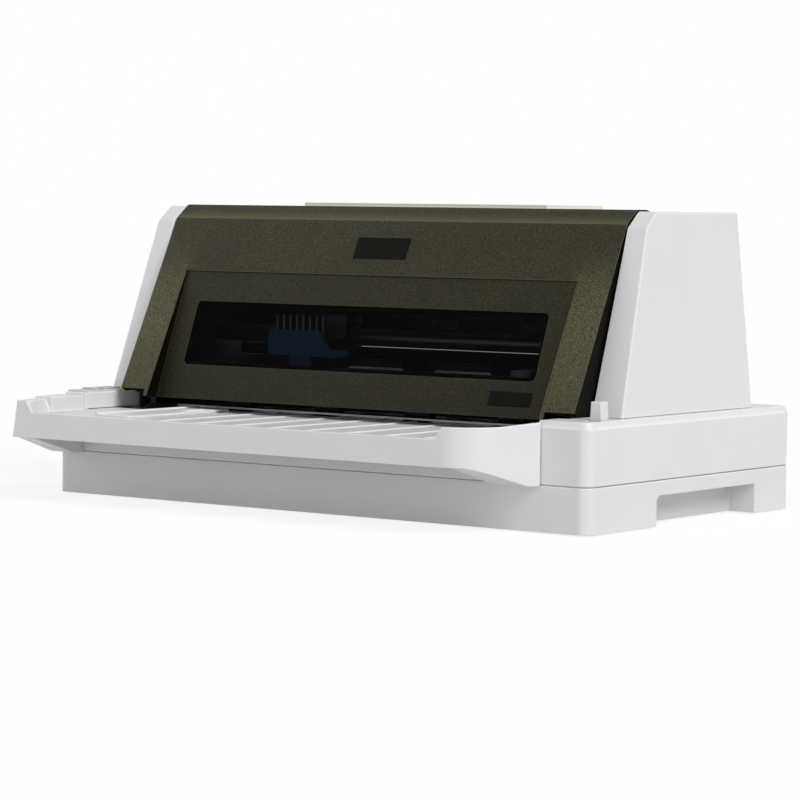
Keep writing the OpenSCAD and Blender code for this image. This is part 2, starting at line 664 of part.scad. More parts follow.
// Front cover: skin, side walls and a recessed centre panel
module cover_line(off, x0, x1) {
    k = off * 1.12;
    yz([[cl_y + k, cl_z - 2], [cl_y + k, cl_z + off * 0.2], [cb_y + k, cb_z - off * 0.4],
        [ct_y + off * 0.8, cover_top_z - off], [hinge_y, cover_top_z - off], [hinge_y, deck_z - 6],
        [cl_y + k + 8, deck_z - 6]], x0, x1);
}
module front_cover() {
    back_off = 4.5;
    color("#45443a") difference() {
        union() {
            difference() {
                yz([[cl_y, cl_z], [cb_y, cb_z], [ct_y, cover_top_z], [hinge_y, cover_top_z],
                    [hinge_y, cover_top_z - cover_t], [house_at(cb_z) + back_off + 6, cb_z - 6],
                    [house_at(deck_z) + back_off, deck_z + 0.6], [cl_y + 3.4, deck_z + 0.6]],
                    -cover_x, cover_x);
                // Hollow behind the side strips and the top band
                for (s = [-1, 1]) {
                    xm = s * (panel_half + cover_t + (cover_x - cover_t)) / 2;
                    xh = (cover_x - panel_half - 2 * cover_t) / 2;
                    cover_line(cover_t, xm - xh, xm + xh);
                }
                cover_line(cover_t, -panel_half - cover_t - 1, panel_half + cover_t + 1);
            }
            // Recess side walls
            for (s = [-1, 1])
                yz([[cover_at(panel_low_z + 1), panel_low_z + 1.5], [cover_at(panel_top_z) + 1, panel_top_z + 3],
                    [panel_at(panel_top_z) + cover_t + 2, panel_top_z + 3],
                    [panel_at(panel_low_z) + cover_t, panel_low_z + 0.6], [cover_at(panel_low_z) + 3, panel_low_z + 0.6]],
                    s > 0 ? panel_half : -panel_half - cover_t, s > 0 ? panel_half + cover_t : -panel_half);
            yz([[panel_at(panel_low_z + 0.6), panel_low_z + 0.6], [panel_at(panel_top_z + 2), panel_top_z + 2],
                [panel_at(panel_top_z + 2) + cover_t, panel_top_z + 2],
                [panel_at(panel_low_z + 0.6) + cover_t, panel_low_z + 0.6]], -panel_half - 1, panel_half + 1);
            // Rounded back of the cover about the hinge, and its two ears
            intersection() {
                difference() {
                    rod(-cover_x, cover_x, hinge_y, hinge_z, hinge_r);
                    rod(-cover_x - 1, cover_x + 1, hinge_y, hinge_z, hinge_r - cover_t);
                }
                box(-cover_x, cover_x, hinge_y - eps, hinge_y + hinge_r + 1, hinge_z, cover_top_z + 1);
            }
            mirror_x() difference() {
                rod(cover_x - 5, cover_x, hinge_y, hinge_z, hinge_r - 0.4);
                rod(cover_x - 6, cover_x + 1, hinge_y, hinge_z, pin_r + 0.02);
            }
        }
        // Space in front of the recessed panel
        yz([[panel_at(panel_low_z - 5), panel_low_z - 5], [panel_at(panel_top_z), panel_top_z],
            [cover_at(panel_top_z) - 20, panel_top_z], [cover_at(panel_low_z) - 20, panel_low_z - 5]],
            -panel_half, panel_half);
        mirror_x() rod(cover_x - 6, cover_x + 1, hinge_y, hinge_z, pin_r + 0.02);
        window_cut(0, 6, -1);
        window_cut(-2, window_t + 0.1, 0);
        model_plate_pocket();
        badge_pocket();
    }
}
// A shape drawn flat and laid on the recessed panel, x across and y up the panel
module on_panel(z, depth, lift) {
    translate([0, panel_at(z), z]) rotate([90 - panel_tilt, 0, 0]) translate([0, 0, -depth])
        linear_extrude(depth + lift) children();
}
module on_cover(z, depth, lift) {
    translate([0, cover_at(z), z]) rotate([90 - atan(cover_slope), 0, 0]) translate([0, 0, -depth])
        linear_extrude(depth + lift) children();
}
module window_cut(grow, depth, out) {
    on_panel(window_z, depth, 1 + max(out, 0))
        round_rect(-window_half + (grow < 0 ? 0 : 2.5), window_half - (grow < 0 ? 0 : 2.5),
            grow < 0 ? 0 : 2.5, window_tall - (grow < 0 ? 0 : 2.5), window_r);
}
module cover_window() {
    color([0.07, 0.07, 0.08, 0.85]) on_panel(window_z, window_t, 0)
        round_rect(-window_half + 0.1, window_half - 0.1, 0.1, window_tall - 0.1, window_r);
}
badge_z = deck_z + 80.6;
badge_w = 37;
badge_h = 13.4;
model_x = 110;
model_z = deck_z + 3.7;
model_w = 27.6;
model_h = 8.2;
module badge_pocket() {
    on_cover(badge_z, plate_t / 2, 2) translate([-badge_w / 2, 0]) square([badge_w, badge_h]);
}
module model_plate_pocket() {
    on_panel(model_z, plate_t / 2, 2) translate([model_x - model_w / 2, 0]) square([model_w, model_h]);
}
module label_plates() {
    color("#1c1b14") {
        on_cover(badge_z, plate_t / 2, plate_t / 2) translate([-badge_w / 2 + 0.05, 0.05])
            square([badge_w - 0.1, badge_h - 0.1]);
        on_panel(model_z, plate_t / 2, plate_t / 2) translate([model_x - model_w / 2 + 0.05, 0.05])
            square([model_w - 0.1, model_h - 0.1]);
    }
}
module cover_pins() {
    color("silver") mirror_x() rod(cover_x - 5, bay_half + 3, hinge_y, hinge_z, pin_r);
}

// Control panel on the left plateau
panel_x = -side_x + 11;
button_y = [for (k = [0 : 2]) front_y + 17 + k * 8.6];
button_w = 9;
button_d = 6;
panel_t = 1;
button_travel = 1;
module button_hole(k) {
    box(panel_x - button_w / 2 - flat_fit, panel_x + button_w / 2 + flat_fit,
        button_y[k] - button_d / 2 - flat_fit, button_y[k] + button_d / 2 + flat_fit, deck_z - wall - 1, deck_z + 4);
}
module lens_hole(k) {
    translate([panel_x + 6.6, button_y[k], deck_z - wall - 1]) cylinder(h = wall + 5, r = 1.1, $fn = 24);
}
module control_panel() {
    color("#b9bbbd") difference() {
        translate([0, 0, deck_z]) linear_extrude(panel_t)
            round_rect(panel_x - 8.5, panel_x + 9, front_y + 5, front_y + 39.6, 2);
        for (k = [0, 1, 2]) button_hole(k);
        for (k = [0, 1, 2]) lens_hole(k);
    }
}
module panel_button(k) {
    color("#8d9296") {
        box(panel_x - button_w / 2, panel_x + button_w / 2, button_y[k] - button_d / 2, button_y[k] + button_d / 2,
            deck_z - wall - 1.6, deck_z + panel_t + 1.2);
        box(panel_x - button_w / 2 - 1, panel_x + button_w / 2 + 1, button_y[k] - button_d / 2 - 0.8,
            button_y[k] + button_d / 2 + 0.8, deck_z - wall - 2.6, deck_z - wall - 1.4);
    }
}
module pause_button() { panel_button(0); }
module feed_button() { panel_button(1); }
module select_button() { panel_button(2); }
module indicator_lenses() {
    color("#7fae6a") for (k = [0, 1, 2]) translate([panel_x + 6.6, button_y[k], deck_z - wall])
        cylinder(h = wall + panel_t + 0.3, r = 1, $fn = 24);
}

// Paper release lever on the right plateau, and the shaft that it turns
finger_y = release_y + 21;
finger_x = frame_half - 4.5;
module release_lever() {
    color("#d8d8d8") difference() {
        union() {
            xz([[lever_x - 4, deck_z - 6], [lever_x + 4, deck_z - 6], [lever_x + 3, deck_z + 10], [lever_x - 3, deck_z + 10]],
                release_y - 3.5, release_y + 3.5);
            box(lever_x - 2.5, lever_x + 2.5, release_y - 3.5, release_y + 3.5, release_z, deck_z - 5);
            rod(lever_x - 3, lever_x + 3, release_y, release_z, 5.5);
        }
        rod(lever_x - 5, lever_x + 5, release_y, release_z, release_r + 0.02);
    }
}
module release_shaft() {
    color("silver") {
        rod(-frame_half - frame_t - 1, lever_x + 3, release_y, release_z, release_r);
        for (x = [-1, 1]) difference() {
            yz([[release_y - 3.5, release_z + 1], [release_y - 2, release_z + 4.5], [release_y + 8, release_z + 6.4],
                [finger_y - 3, release_z + 9.9], [finger_y, release_z + 9.4], [finger_y, release_z + 7],
                [release_y + 10, release_z + 2], [release_y + 1, release_z - 4], [release_y - 3, release_z - 3]],
                x * finger_x - 1.2, x * finger_x + 1.2);
            rod(x * finger_x - 2, x * finger_x + 2, release_y, release_z, release_r - 0.5);
        }
    }
}

module feet() {
    color("#26262a") for (p = foot_places) translate([p[0], p[1], 0]) {
        cylinder(h = foot_h, r = 8);
        cylinder(h = case_floor_z + 0.6, r = 2.4);
    }
}
module case_screws() {
    color("gray") for (p = post_places) translate([p[0], p[1], foot_h + 0.5]) {
        cylinder(h = 2.5, r = 2.9);
        cylinder(h = seam_z - foot_h + 8, r = screw_r);
    }
}

// Steel side frames that hold every shaft
frame_top = rear_rail_top + 3;
function frame_line() = [[release_y - 8, release_z - 8], [release_y - 8, release_z + 7], [release_y + 7, release_z + 7],
    [cart_back - cart_d + 1, press_z - 2], [cart_back - cart_d - 1, cart_z + 8],
    [cart_back - 4, cart_z + 12], [print_ay - 4, frame_top],
    [rear_rail_y + 14, frame_top], [hbt_y - wall - 2, exit_z + 24], [hb_y - wall - 4.5, deck_z + 2],
    [hb_y - wall - 4.5, rest_z], [frame_feet_y[0] - 8, rest_z], [frame_feet_y[0] - 8, release_z - 8]];
module side_frame(s) {
    x0 = s > 0 ? frame_half : -frame_half - frame_t;
    color("#8f9297") {
        difference() {
            union() {
                yz(frame_line(), x0, x0 + frame_t);
                for (y = frame_feet_y) box(s > 0 ? frame_half - 12 : -frame_half - eps, s > 0 ? frame_half + eps : -frame_half + 12,
                    y - 8, y + 8, rest_z, rest_z + frame_t);
            }
            rod(x0 - 1, x0 + frame_t + 1, platen_p[0], platen_p[1], shaft_r + 1 + run_fit);
            rod(x0 - 1, x0 + frame_t + 1, front_feed_p[0], front_feed_p[1], shaft_r + run_fit);
            rod(x0 - 1, x0 + frame_t + 1, rear_feed_p[0], rear_feed_p[1], shaft_r + run_fit);
            rod(x0 - 1, x0 + frame_t + 1, exit_p[0], exit_p[1], shaft_r + run_fit);
            rod(x0 - 1, x0 + frame_t + 1, rail_y, rail_z, rail_r + 0.03);
            rod(x0 - 1, x0 + frame_t + 1, release_y, release_z, release_r + run_fit);
            rod(x0 - 1, x0 + frame_t + 1, pinion_p[0], pinion_p[1], 3);
            rod(x0 - 1, x0 + frame_t + 1, rear_feed_y, press_z, press_shaft_r + 0.03);
            rod(x0 - 1, x0 + frame_t + 1, front_feed_y, press_z, press_shaft_r + run_fit);
            rod(x0 - 1, x0 + frame_t + 1, front_feed_y, press_z + press_lift + 0.2, press_shaft_r + run_fit);
            box(x0 - 1, x0 + frame_t + 1, front_feed_y - press_shaft_r - run_fit, front_feed_y + press_shaft_r + run_fit,
                press_z, press_z + press_lift + 0.2);
            // Open seat for the cartridge peg
            box(x0 - 1, x0 + frame_t + 1, cart_back - cart_d / 2 - peg_r - snug, cart_back - cart_d / 2 + peg_r + snug,
                cart_z + cart_h / 2 - peg_r, frame_top);
        }
    }
}
module left_frame() {
    side_frame(-1);
    color("#8f9297") {
        box(-frame_half - eps, -pulley_x + 11, belt_y - 8, belt_y + 9, belt_z + 9, belt_z + 9 + frame_t);
        translate([-pulley_x, belt_y, belt_z - 1]) cylinder(h = 10.5, r = stub_r);
    }
}
module right_frame() {
    side_frame(1);
    color("#8f9297") {
        difference() {
            box(pulley_x - 12, frame_half + eps, belt_y - 12, belt_y + 11.4, motor_plate_z, motor_plate_z + frame_t);
            translate([pulley_x, belt_y, motor_plate_z - 1]) cylinder(h = 5, r = 4);
        }
        for (p = [front_idler_p, rear_idler_p, exit_a_p, exit_b_p])
            rod(frame_half + frame_t - eps, gear_x + gear_w + 0.4, p[0], p[1], stub_r);
    }
}
module cross_plate() {
    z0 = platen_z - platen_r - 4.5;
    color("#9a9da1") {
        box(-frame_half, frame_half, print_ay - 22, print_ay + 3, z0, z0 + frame_t);
        box(-frame_half, frame_half, print_ay - 22, print_ay - 22 + frame_t, z0 - 9, z0 + eps);
        box(-frame_half, frame_half, print_ay + 3 - frame_t, print_ay + 3, z0 - 9, z0 + eps);
    }
}
module rear_rail() {
    color("#4b4d50") difference() {
        union() {
            box(-frame_half, frame_half, rear_rail_y, rear_rail_y + frame_t, rear_rail_top - 14, rear_rail_top);
            box(-frame_half, frame_half, rear_rail_y, rear_rail_y + 10, rear_rail_top - frame_t, rear_rail_top);
            for (x = [-104, -36, 30, 96]) box(x - 5, x + 5, rear_rail_y - 2, rear_rail_y + eps,
                rear_rail_top - 12, rear_rail_top - 3);
        }
        for (x = [-70, 0, 64]) box(x - 9, x + 9, rear_rail_y - 1, rear_rail_y + 3, rear_rail_top - 10, rear_rail_top - 5);
    }
}
module guide_shaft() {
    color("#d9dadb") rod(-frame_half - frame_t - 2, frame_half + frame_t + 0.4, rail_y, rail_z, rail_r);
}
roller_xs = [for (i = [-1.5, -0.5, 0.5, 1.5]) i * roller_pitch];
module lower_guide() {
    z0 = guide_top_z - guide_t;
    y0 = table_back_y + 0.5;
    y1 = rear_feed_y + 10;
    y2 = exit_y - 5;
    z2 = exit_z - exit_r - 0.9;
    color("#6f7276") difference() {
        union() {
            box(-frame_half, frame_half, y0, y1, z0, z0 + guide_t);
            yz([[y1 - eps, z0], [y1 - eps, z0 + guide_t], [y2, z2], [exit_y + 5, z2 + 0.6],
                [hb_y - wall - 5, exit_low_z + 1], [hb_y - wall - 5, exit_low_z - 0.4],
                [exit_y + 5.4, z2 - 0.8], [y2 + 0.4, z2 - guide_t - 0.2]], -frame_half, frame_half);
            for (x = [-frame_half, frame_half - 2])
                box(x, x + 2, rear_feed_y + 9.5, y1 + 3, z0 - 8, z0 + eps);
        }
        box(-137, 137, print_ay - 6, print_ay + 6, z0 - 1, z0 + 3);
        for (x = roller_xs, y = [front_feed_y, rear_feed_y])
            box(x - roller_len / 2 - 1, x + roller_len / 2 + 1, y - 4.6, y + 4.6, z0 - 1, z0 + 3);
        mirror_x() box(frame_half - 9, frame_half + 1, y0 - 1, front_feed_y + 3.5, z0 - 1, z0 + 3);
    }
}

// Rollers, each set with its shaft
module roller_set(xs, y, z, r, bore) {
    for (x = xs) difference() {
        rod(x - roller_len / 2, x + roller_len / 2, y, z, r);
        rod(x - roller_len / 2 - 1, x + roller_len / 2 + 1, y, z, bore);
    }
}
module geared_shaft(p, r, teeth, phase) {
    color("silver") rod(-frame_half - frame_t - 1, gear_x + gear_w + 0.5, p[0], p[1], r);
    color("#e6e2d4") gear(teeth, gear_x, p, r - 0.5, phase);
}
feed_phase = toward(front_idler_p, front_feed_p);
module platen() {
    color("#2a2a2c") difference() {
        rod(-132, 132, platen_p[0], platen_p[1], platen_r);
        rod(-133, 133, platen_p[0], platen_p[1], shaft_r + 1);
    }
}
// Tooth phase of a gear at point q with n teeth that meshes with a gear at p with m teeth and its phase
function mesh_phase(p, m, phase, q, n) =
    let (a = toward(p, q), u = (a - phase) * m / 360) a + 180 + (u - floor(u) + 0.5) * 360 / n;
front_idler_phase = mesh_phase(platen_p, platen_teeth, 0, front_idler_p, idler_teeth);
rear_idler_phase = mesh_phase(platen_p, platen_teeth, 0, rear_idler_p, idler_teeth);
front_gear_phase = mesh_phase(front_idler_p, idler_teeth, front_idler_phase, front_feed_p, feed_teeth);
rear_gear_phase = mesh_phase(rear_idler_p, idler_teeth, rear_idler_phase, rear_feed_p, feed_teeth);
pinion_phase = mesh_phase(rear_idler_p, idler_teeth, rear_idler_phase, pinion_p, pinion_teeth);
exit_a_phase = mesh_phase(rear_feed_p, feed_teeth, rear_gear_phase, exit_a_p, exit_idler_teeth);
exit_b_phase = mesh_phase(exit_a_p, exit_idler_teeth, exit_a_phase, exit_b_p, exit_idler_teeth);
exit_phase = mesh_phase(exit_b_p, exit_idler_teeth, exit_b_phase, exit_p, exit_teeth);
module platen_shaft() { geared_shaft(platen_p, shaft_r + 1, platen_teeth, 0); }
module front_feed_shaft() { geared_shaft(front_feed_p, shaft_r, feed_teeth, front_gear_phase); }
module rear_feed_shaft() { geared_shaft(rear_feed_p, shaft_r, feed_teeth, rear_gear_phase); }
module exit_shaft() { geared_shaft(exit_p, shaft_r, exit_teeth, exit_phase); }
module front_feed_rollers() {
    color("#2a2a2c") roller_set(roller_xs, front_feed_p[0], front_feed_p[1], feed_r, shaft_r);
}
module rear_feed_rollers() {
    color("#2a2a2c") roller_set(roller_xs, rear_feed_p[0], rear_feed_p[1], feed_r, shaft_r);
}
module exit_rollers() {
    color("#2a2a2c") roller_set(roller_xs, exit_p[0], exit_p[1], exit_r, shaft_r);
}
module front_pressure_shaft() {
    color("silver") rod(-frame_half - frame_t - 0.6, frame_half + frame_t + 0.6, front_feed_y, press_z, press_shaft_r);
    color("#3a3a3c") for (x = [-1, 1]) difference() {
        box(x * finger_x - 2, x * finger_x + 2, finger_y - 4, front_feed_y + 4, press_z - 2.4, press_z + 2.4);
        rod(x * finger_x - 3, x * finger_x + 3, front_feed_y, press_z, press_shaft_r - 0.4);
    }
}
module front_pressure_rollers() {
    color("#5b5b5e") roller_set(roller_xs, front_feed_y, press_z, press_r, press_shaft_r + run_fit);
}
module rear_pressure_shaft() {
    color("silver") rod(-frame_half - frame_t - 0.6, frame_half + frame_t + 0.6, rear_feed_y, press_z, press_shaft_r);
}
module rear_pressure_rollers() {
    color("#5b5b5e") roller_set(roller_xs, rear_feed_y, press_z, press_r, press_shaft_r + run_fit);
}
module front_idler_gear() { color("#e6e2d4") gear(idler_teeth, gear_x, front_idler_p, stub_r + run_fit, front_idler_phase); }
module rear_idler_gear() { color("#e6e2d4") gear(idler_teeth, gear_x, rear_idler_p, stub_r + run_fit, rear_idler_phase); }
module exit_gear_a() { color("#e6e2d4") gear(exit_idler_teeth, gear_x, exit_a_p, stub_r + run_fit, exit_a_phase); }
module exit_gear_b() { color("#e6e2d4") gear(exit_idler_teeth, gear_x, exit_b_p, stub_r + run_fit, exit_b_phase); }
module motor_pinion() {
    color("silver") rod(frame_half - 6, gear_x + gear_w + 0.4, pinion_p[0], pinion_p[1], 1.5);
    color("#c9b36a") gear(pinion_teeth, gear_x, pinion_p, 1, pinion_phase);
}
module feed_motor() {
    color("#3c3d40") difference() {
        union() {
            rod(frame_half - 22, frame_half, pinion_p[0], pinion_p[1], motor_r);
            rod(frame_half - 21, frame_half - 4, pinion_p[0], pinion_p[1], motor_r + 0.6);
        }
        rod(frame_half - 8, frame_half + 1, pinion_p[0], pinion_p[1], 2);
    }
}

// Carriage drive
module carriage_motor() {
    z0 = motor_plate_z + frame_t;
    color("#3c3d40") difference() {
        translate([pulley_x, belt_y, z0]) cylinder(h = 26, r = car_motor_r);
        translate([pulley_x, belt_y, z0 - 1]) cylinder(h = 7, r = 3);
    }
}
module pulley(x, bore) {
    difference() {
        translate([x, belt_y, belt_z - 1]) {
            cylinder(h = belt_h + 2, r = pulley_r);
            cylinder(h = 0.8, r = pulley_r + 1.4);
            translate([0, 0, belt_h + 1.2]) cylinder(h = 0.8, r = pulley_r + 1.4);
        }
        translate([x, belt_y, belt_z - 2]) cylinder(h = belt_h + 6, r = bore);
    }
}
module drive_pulley() {
    color("#c9b36a") pulley(pulley_x, 2);
    color("silver") translate([pulley_x, belt_y, belt_z - 1])
        cylinder(h = motor_plate_z + frame_t + 5 - belt_z, r = 2.4);
}
module idler_pulley() {
    color("#e6e2d4") pulley(-pulley_x, stub_r + run_fit);
}
module drive_belt() {
    r1 = pulley_r + 0.1;
    r2 = r1 + belt_t;
    color("#1d1d1f") {
        for (s = [-1, 1]) {
            box(-pulley_x, pulley_x, belt_y + (s > 0 ? r1 : -r2), belt_y + (s > 0 ? r2 : -r1), belt_z, belt_z + belt_h);
            intersection() {
                translate([s * pulley_x, belt_y, belt_z]) difference() {
                    cylinder(h = belt_h, r = r2);
                    translate([0, 0, -1]) cylinder(h = belt_h + 2, r = r1);
                }
                box(s > 0 ? pulley_x : -pulley_x - 20, s > 0 ? pulley_x + 20 : -pulley_x, belt_y - 20, belt_y + 20,
                    belt_z - 1, belt_z + belt_h + 1);
            }
        }
    }
}

// Carriage with the print head, heat sink and ribbon guard
module carriage() {
    x0 = head_x - carriage_half;
    x1 = head_x + carriage_half;
    run_y = belt_y - pulley_r - 0.7;
    color("#35363a") difference() {
        union() {
            rod(x0, x1, rail_y, rail_z, rail_r + 4);
            box(head_x - 19, head_x + 19, print_ay - 9, rail_y - 7, rail_z - 15.5, rail_z - 3);
            yz([[rail_y - 6, rail_z + 4], [rail_y + 6, rail_z + 3], [rail_y + 13, rear_rail_top + 0.3],
                [rear_rail_y + 9, rear_rail_top + 0.3], [rear_rail_y + 9, rear_rail_top + 3],
                [rail_y + 9, rear_rail_top + 3]], head_x - 8, head_x + 8);
            box(head_x - 8, head_x + 8, run_y - 4, run_y + 4, belt_z - 4, belt_z + belt_h + 3);
        }
        rod(x0 - 1, x1 + 1, rail_y, rail_z, rail_r + run_fit);
        box(head_x - head_half - 0.2, head_x + head_half + 0.2, print_ay - 7.2, print_ay + 8.2, rail_z - 20, rail_z + 5);
        box(head_x - 9, head_x + 9, run_y - 1.1, run_y + 1.1, belt_z - 0.5, belt_z + belt_h + 4);
    }
}
head_low = sheet_z + 2;
head_top = rail_z - 2;
module print_head() {
    color("#505257") {
        box(head_x - head_half, head_x + head_half, print_ay - 7, print_ay + 8, head_low + 10, head_top);
        yz([[print_ay - 3, head_low], [print_ay + 3, head_low], [print_ay + 7, head_low + 10 + eps],
            [print_ay - 6, head_low + 10 + eps]], head_x - 5, head_x + 5);
    }
}
fin_y0 = print_ay - 12;
module head_heatsink() {
    color("#b9c2c9") {
        box(head_x - head_half, head_x + head_half, print_ay - 7, print_ay + 8, head_top, head_top + 3);
        for (i = [0 : fin_n - 1]) {
            x = head_x + (i - (fin_n - 1) / 2) * fin_pitch;
            box(x - 0.7, x + 0.7, fin_y0, print_ay + 9, head_top + 3 - eps, head_top + 15);
        }
        box(head_x - (fin_n - 1) / 2 * fin_pitch - 0.7, head_x + (fin_n - 1) / 2 * fin_pitch + 0.7,
            fin_y0 + 4, print_ay + 9, head_top + 1.6, head_top + 3 + eps);
    }
}
module ribbon_guard() {
    y0 = print_ay - 13.8;
    color("#2c5f8c") {
        xz([[head_x - 22, rail_z - 10.5], [head_x + 14, rail_z - 10.5], [head_x + 24, rail_z - 11],
            [head_x + 35, rail_z - 9.5], [head_x + 35, rail_z - 6.5], [head_x + 22, rail_z - 6],
            [head_x + 16, rail_z + 4.5], [head_x - 22, rail_z + 4.5]], y0, y0 + 1.8);
        box(head_x - 19, head_x - 15, y0 + 1.8 - eps, print_ay - 9, rail_z - 10, rail_z - 5);
        box(head_x + 12, head_x + 16, y0 + 1.8 - eps, print_ay - 9, rail_z - 10, rail_z - 5);
        box(head_x - 8, head_x + 8, y0 + 1.8 - eps, y0 + 3.6, press_z + press_r + 4, rail_z - 6);
    }
}

// Ribbon cartridge, its winding knob and the ribbon across the print line
module ribbon_cartridge() {
    y0 = cart_back - cart_d;
    color("#232326") difference() {
        union() {
            box(-cart_half, cart_half, y0, cart_back, cart_z, cart_z + cart_h);
            mirror_x() {
                yz([[cart_back - 1, cart_z], [cart_back - 1, cart_z + 9], [print_ay + 8, cart_z + 4],
                    [print_ay + 8, sheet_z + 1], [print_ay - 8, sheet_z + 1], [print_ay - 9, cart_z]],
                    cart_half - 13, cart_half - 1);
                rod(cart_half - eps, frame_half + frame_t, cart_back - cart_d / 2, cart_z + cart_h / 2, peg_r);
            }
        }
        translate([knob_x, knob_y, cart_z + cart_h - 8]) cylinder(h = 9, r = 2.5 + run_fit);
        // Slot in each arm that the ribbon comes out of
        box(-cart_half + 5, cart_half - 5, print_ay - 6.2, print_ay + 6.2, ribbon_z - 0.2, ribbon_z + ribbon_t + 0.2);
    }
}
knob_x = 106;
knob_y = cart_back - cart_d / 2;
ribbon_z = sheet_z + 1.3;
ribbon_t = 0.35;
module ribbon_knob() {
    color("#b7bcc0") difference() {
        translate([knob_x, knob_y, cart_z + cart_h - 7]) {
            cylinder(h = 11, r = 2.5);
            translate([0, 0, 7.4]) cylinder(h = 3.4, r = 6.2);
        }
        translate([knob_x, knob_y, cart_z + cart_h + 1.4]) cylinder(h = 5, r = 3.6, $fn = 6);
    }
}
module ribbon() {
    color("#101012") box(-cart_half + 6, cart_half - 6, print_ay - 6, print_ay + 6, ribbon_z, ribbon_z + ribbon_t);
}

// Electronics in the lower case
module main_board() {
    z0 = rest_z;
    color("#2f6b3d") box(-134, -8, back_y - 94, back_y - 8, z0, z0 + 1.6);
    color("#222224") {
        box(-120, -92, back_y - 70, back_y - 42, z0 + 1.5, z0 + 5);
        box(-70, -48, back_y - 66, back_y - 48, z0 + 1.5, z0 + 4);
    }
    color("#8f9297") for (k = [0 : 4]) box(-40 + k * 5, -38 + k * 5, back_y - 80, back_y - 50, z0 + 1.5, z0 + 15);
    color("#3a3c8a") for (x = [-128, -60]) translate([x, back_y - 84, z0 + 1.5]) cylinder(h = 13, r = 4.5);
}
module power_supply() {
    z0 = rest_z;
    color("#9a8c52") box(30, 134, back_y - 84, back_y - 24, z0, z0 + 1.6);
    color("#37373a") {
        box(44, 74, back_y - 74, back_y - 44, z0 + 1.5, z0 + 24);
        translate([96, back_y - 60, z0 + 1.5]) cylinder(h = 20, r = 10);
        translate([121, back_y - 60, z0 + 1.5]) cylinder(h = 20, r = 10);
    }
    color("#8f9297") box(42, 122, back_y - 36, back_y - 33, z0 + 1.5, z0 + 22);
}
module rear_sockets() {
    z1 = inlet_z + inlet_h;
    color("#1f1f21") {
        difference() {
            union() {
                box(inlet_x - inlet_w / 2 + 0.2, inlet_x + inlet_w / 2 - 0.2, back_y - 20, back_y, inlet_z + 0.2, z1 - 0.2);
                box(inlet_x - inlet_w / 2 - 1.5, inlet_x + inlet_w / 2 + 1.5, back_y - wall - 1.6, back_y - wall,
                    inlet_z - 1.2, z1 + 0.8);
            }
            box(inlet_x - inlet_w / 2 + 3, inlet_x + inlet_w / 2 - 3, back_y - 14, back_y + 1, inlet_z + 3, z1 - 3);
        }
        for (x = [-6, 0, 6]) box(inlet_x + x - 1, inlet_x + x + 1, back_y - 14.5, back_y - 3,
            inlet_z + inlet_h / 2 - 1.5, inlet_z + inlet_h / 2 + 1.5);
    }
    color("#a9adb1") {
        difference() {
            union() {
                box(port_x - port_w / 2 + 0.2, port_x + port_w / 2 - 0.2, back_y - 16, back_y, port_z, port_z + port_h - 0.2);
                box(port_x - port_w / 2 - 1.5, port_x + port_w / 2 + 1.5, back_y - wall - 1.6, back_y - wall,
                    port_z - 1.2, port_z + port_h + 1.3);
            }
            box(port_x - port_w / 2 + 3, port_x + port_w / 2 - 3, back_y - 9, back_y + 1, port_z + 2, port_z + port_h - 2);
        }
        difference() {
            union() {
                box(usb_x - 6.8, usb_x + 6.8, back_y - 16, back_y, port_z, port_z + port_h - 0.2);
                box(usb_x - 8.5, usb_x + 8.5, back_y - wall - 1.6, back_y - wall, port_z - 1.2, port_z + port_h + 1.3);
            }
            box(usb_x - 4.4, usb_x + 4.4, back_y - 10, back_y + 1, port_z + 2, port_z + port_h - 2);
        }
    }
}
switch_p = [back_y - 6.1, inlet_z + inlet_h / 2];
module power_switch() {
    h = inlet_h / 2 - 0.6;
    color("#1b1b1d") yz([[switch_p[0] - 5, switch_p[1] - h + 2.6], [switch_p[0] + 4.9, switch_p[1] - h + 1],
        [switch_p[0] + 4.4, switch_p[1]], [switch_p[0] + 6, switch_p[1] + h - 1],
        [switch_p[0] - 5, switch_p[1] + h - 2.6]], switch_x - 6.4, switch_x + 6.4);
}

lower_case();
upper_case();
left_housing();
right_housing();
rear_housing();
top_lid();
paper_table();
edge_guide();
front_cover();
cover_window();
label_plates();
cover_pins();
control_panel();
pause_button();
feed_button();
select_button();
indicator_lenses();
release_lever();
release_shaft();
feet();
case_screws();
left_frame();
right_frame();
cross_plate();
rear_rail();
guide_shaft();
lower_guide();
platen();
platen_shaft();
front_feed_rollers();
front_feed_shaft();
rear_feed_rollers();
rear_feed_shaft();
exit_rollers();
exit_shaft();
front_pressure_shaft();
front_pressure_rollers();
rear_pressure_shaft();
rear_pressure_rollers();
feed_motor();
motor_pinion();
front_idler_gear();
rear_idler_gear();
exit_gear_a();
exit_gear_b();
carriage_motor();
drive_pulley();
idler_pulley();
drive_belt();
carriage();
print_head();
head_heatsink();
ribbon_guard();
ribbon_cartridge();
ribbon_knob();
ribbon();
main_board();
power_supply();
rear_sockets();
power_switch();
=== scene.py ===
# Finishes, detail pieces, stage and camera for the flatbed dot matrix printer.
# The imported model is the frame: each piece is made where its node stands, in metres,
# and rides on that node's body. Sizes in the property groups are in metres too.
import json
import math

import bmesh
import bpy
from mathutils import Matrix, Vector


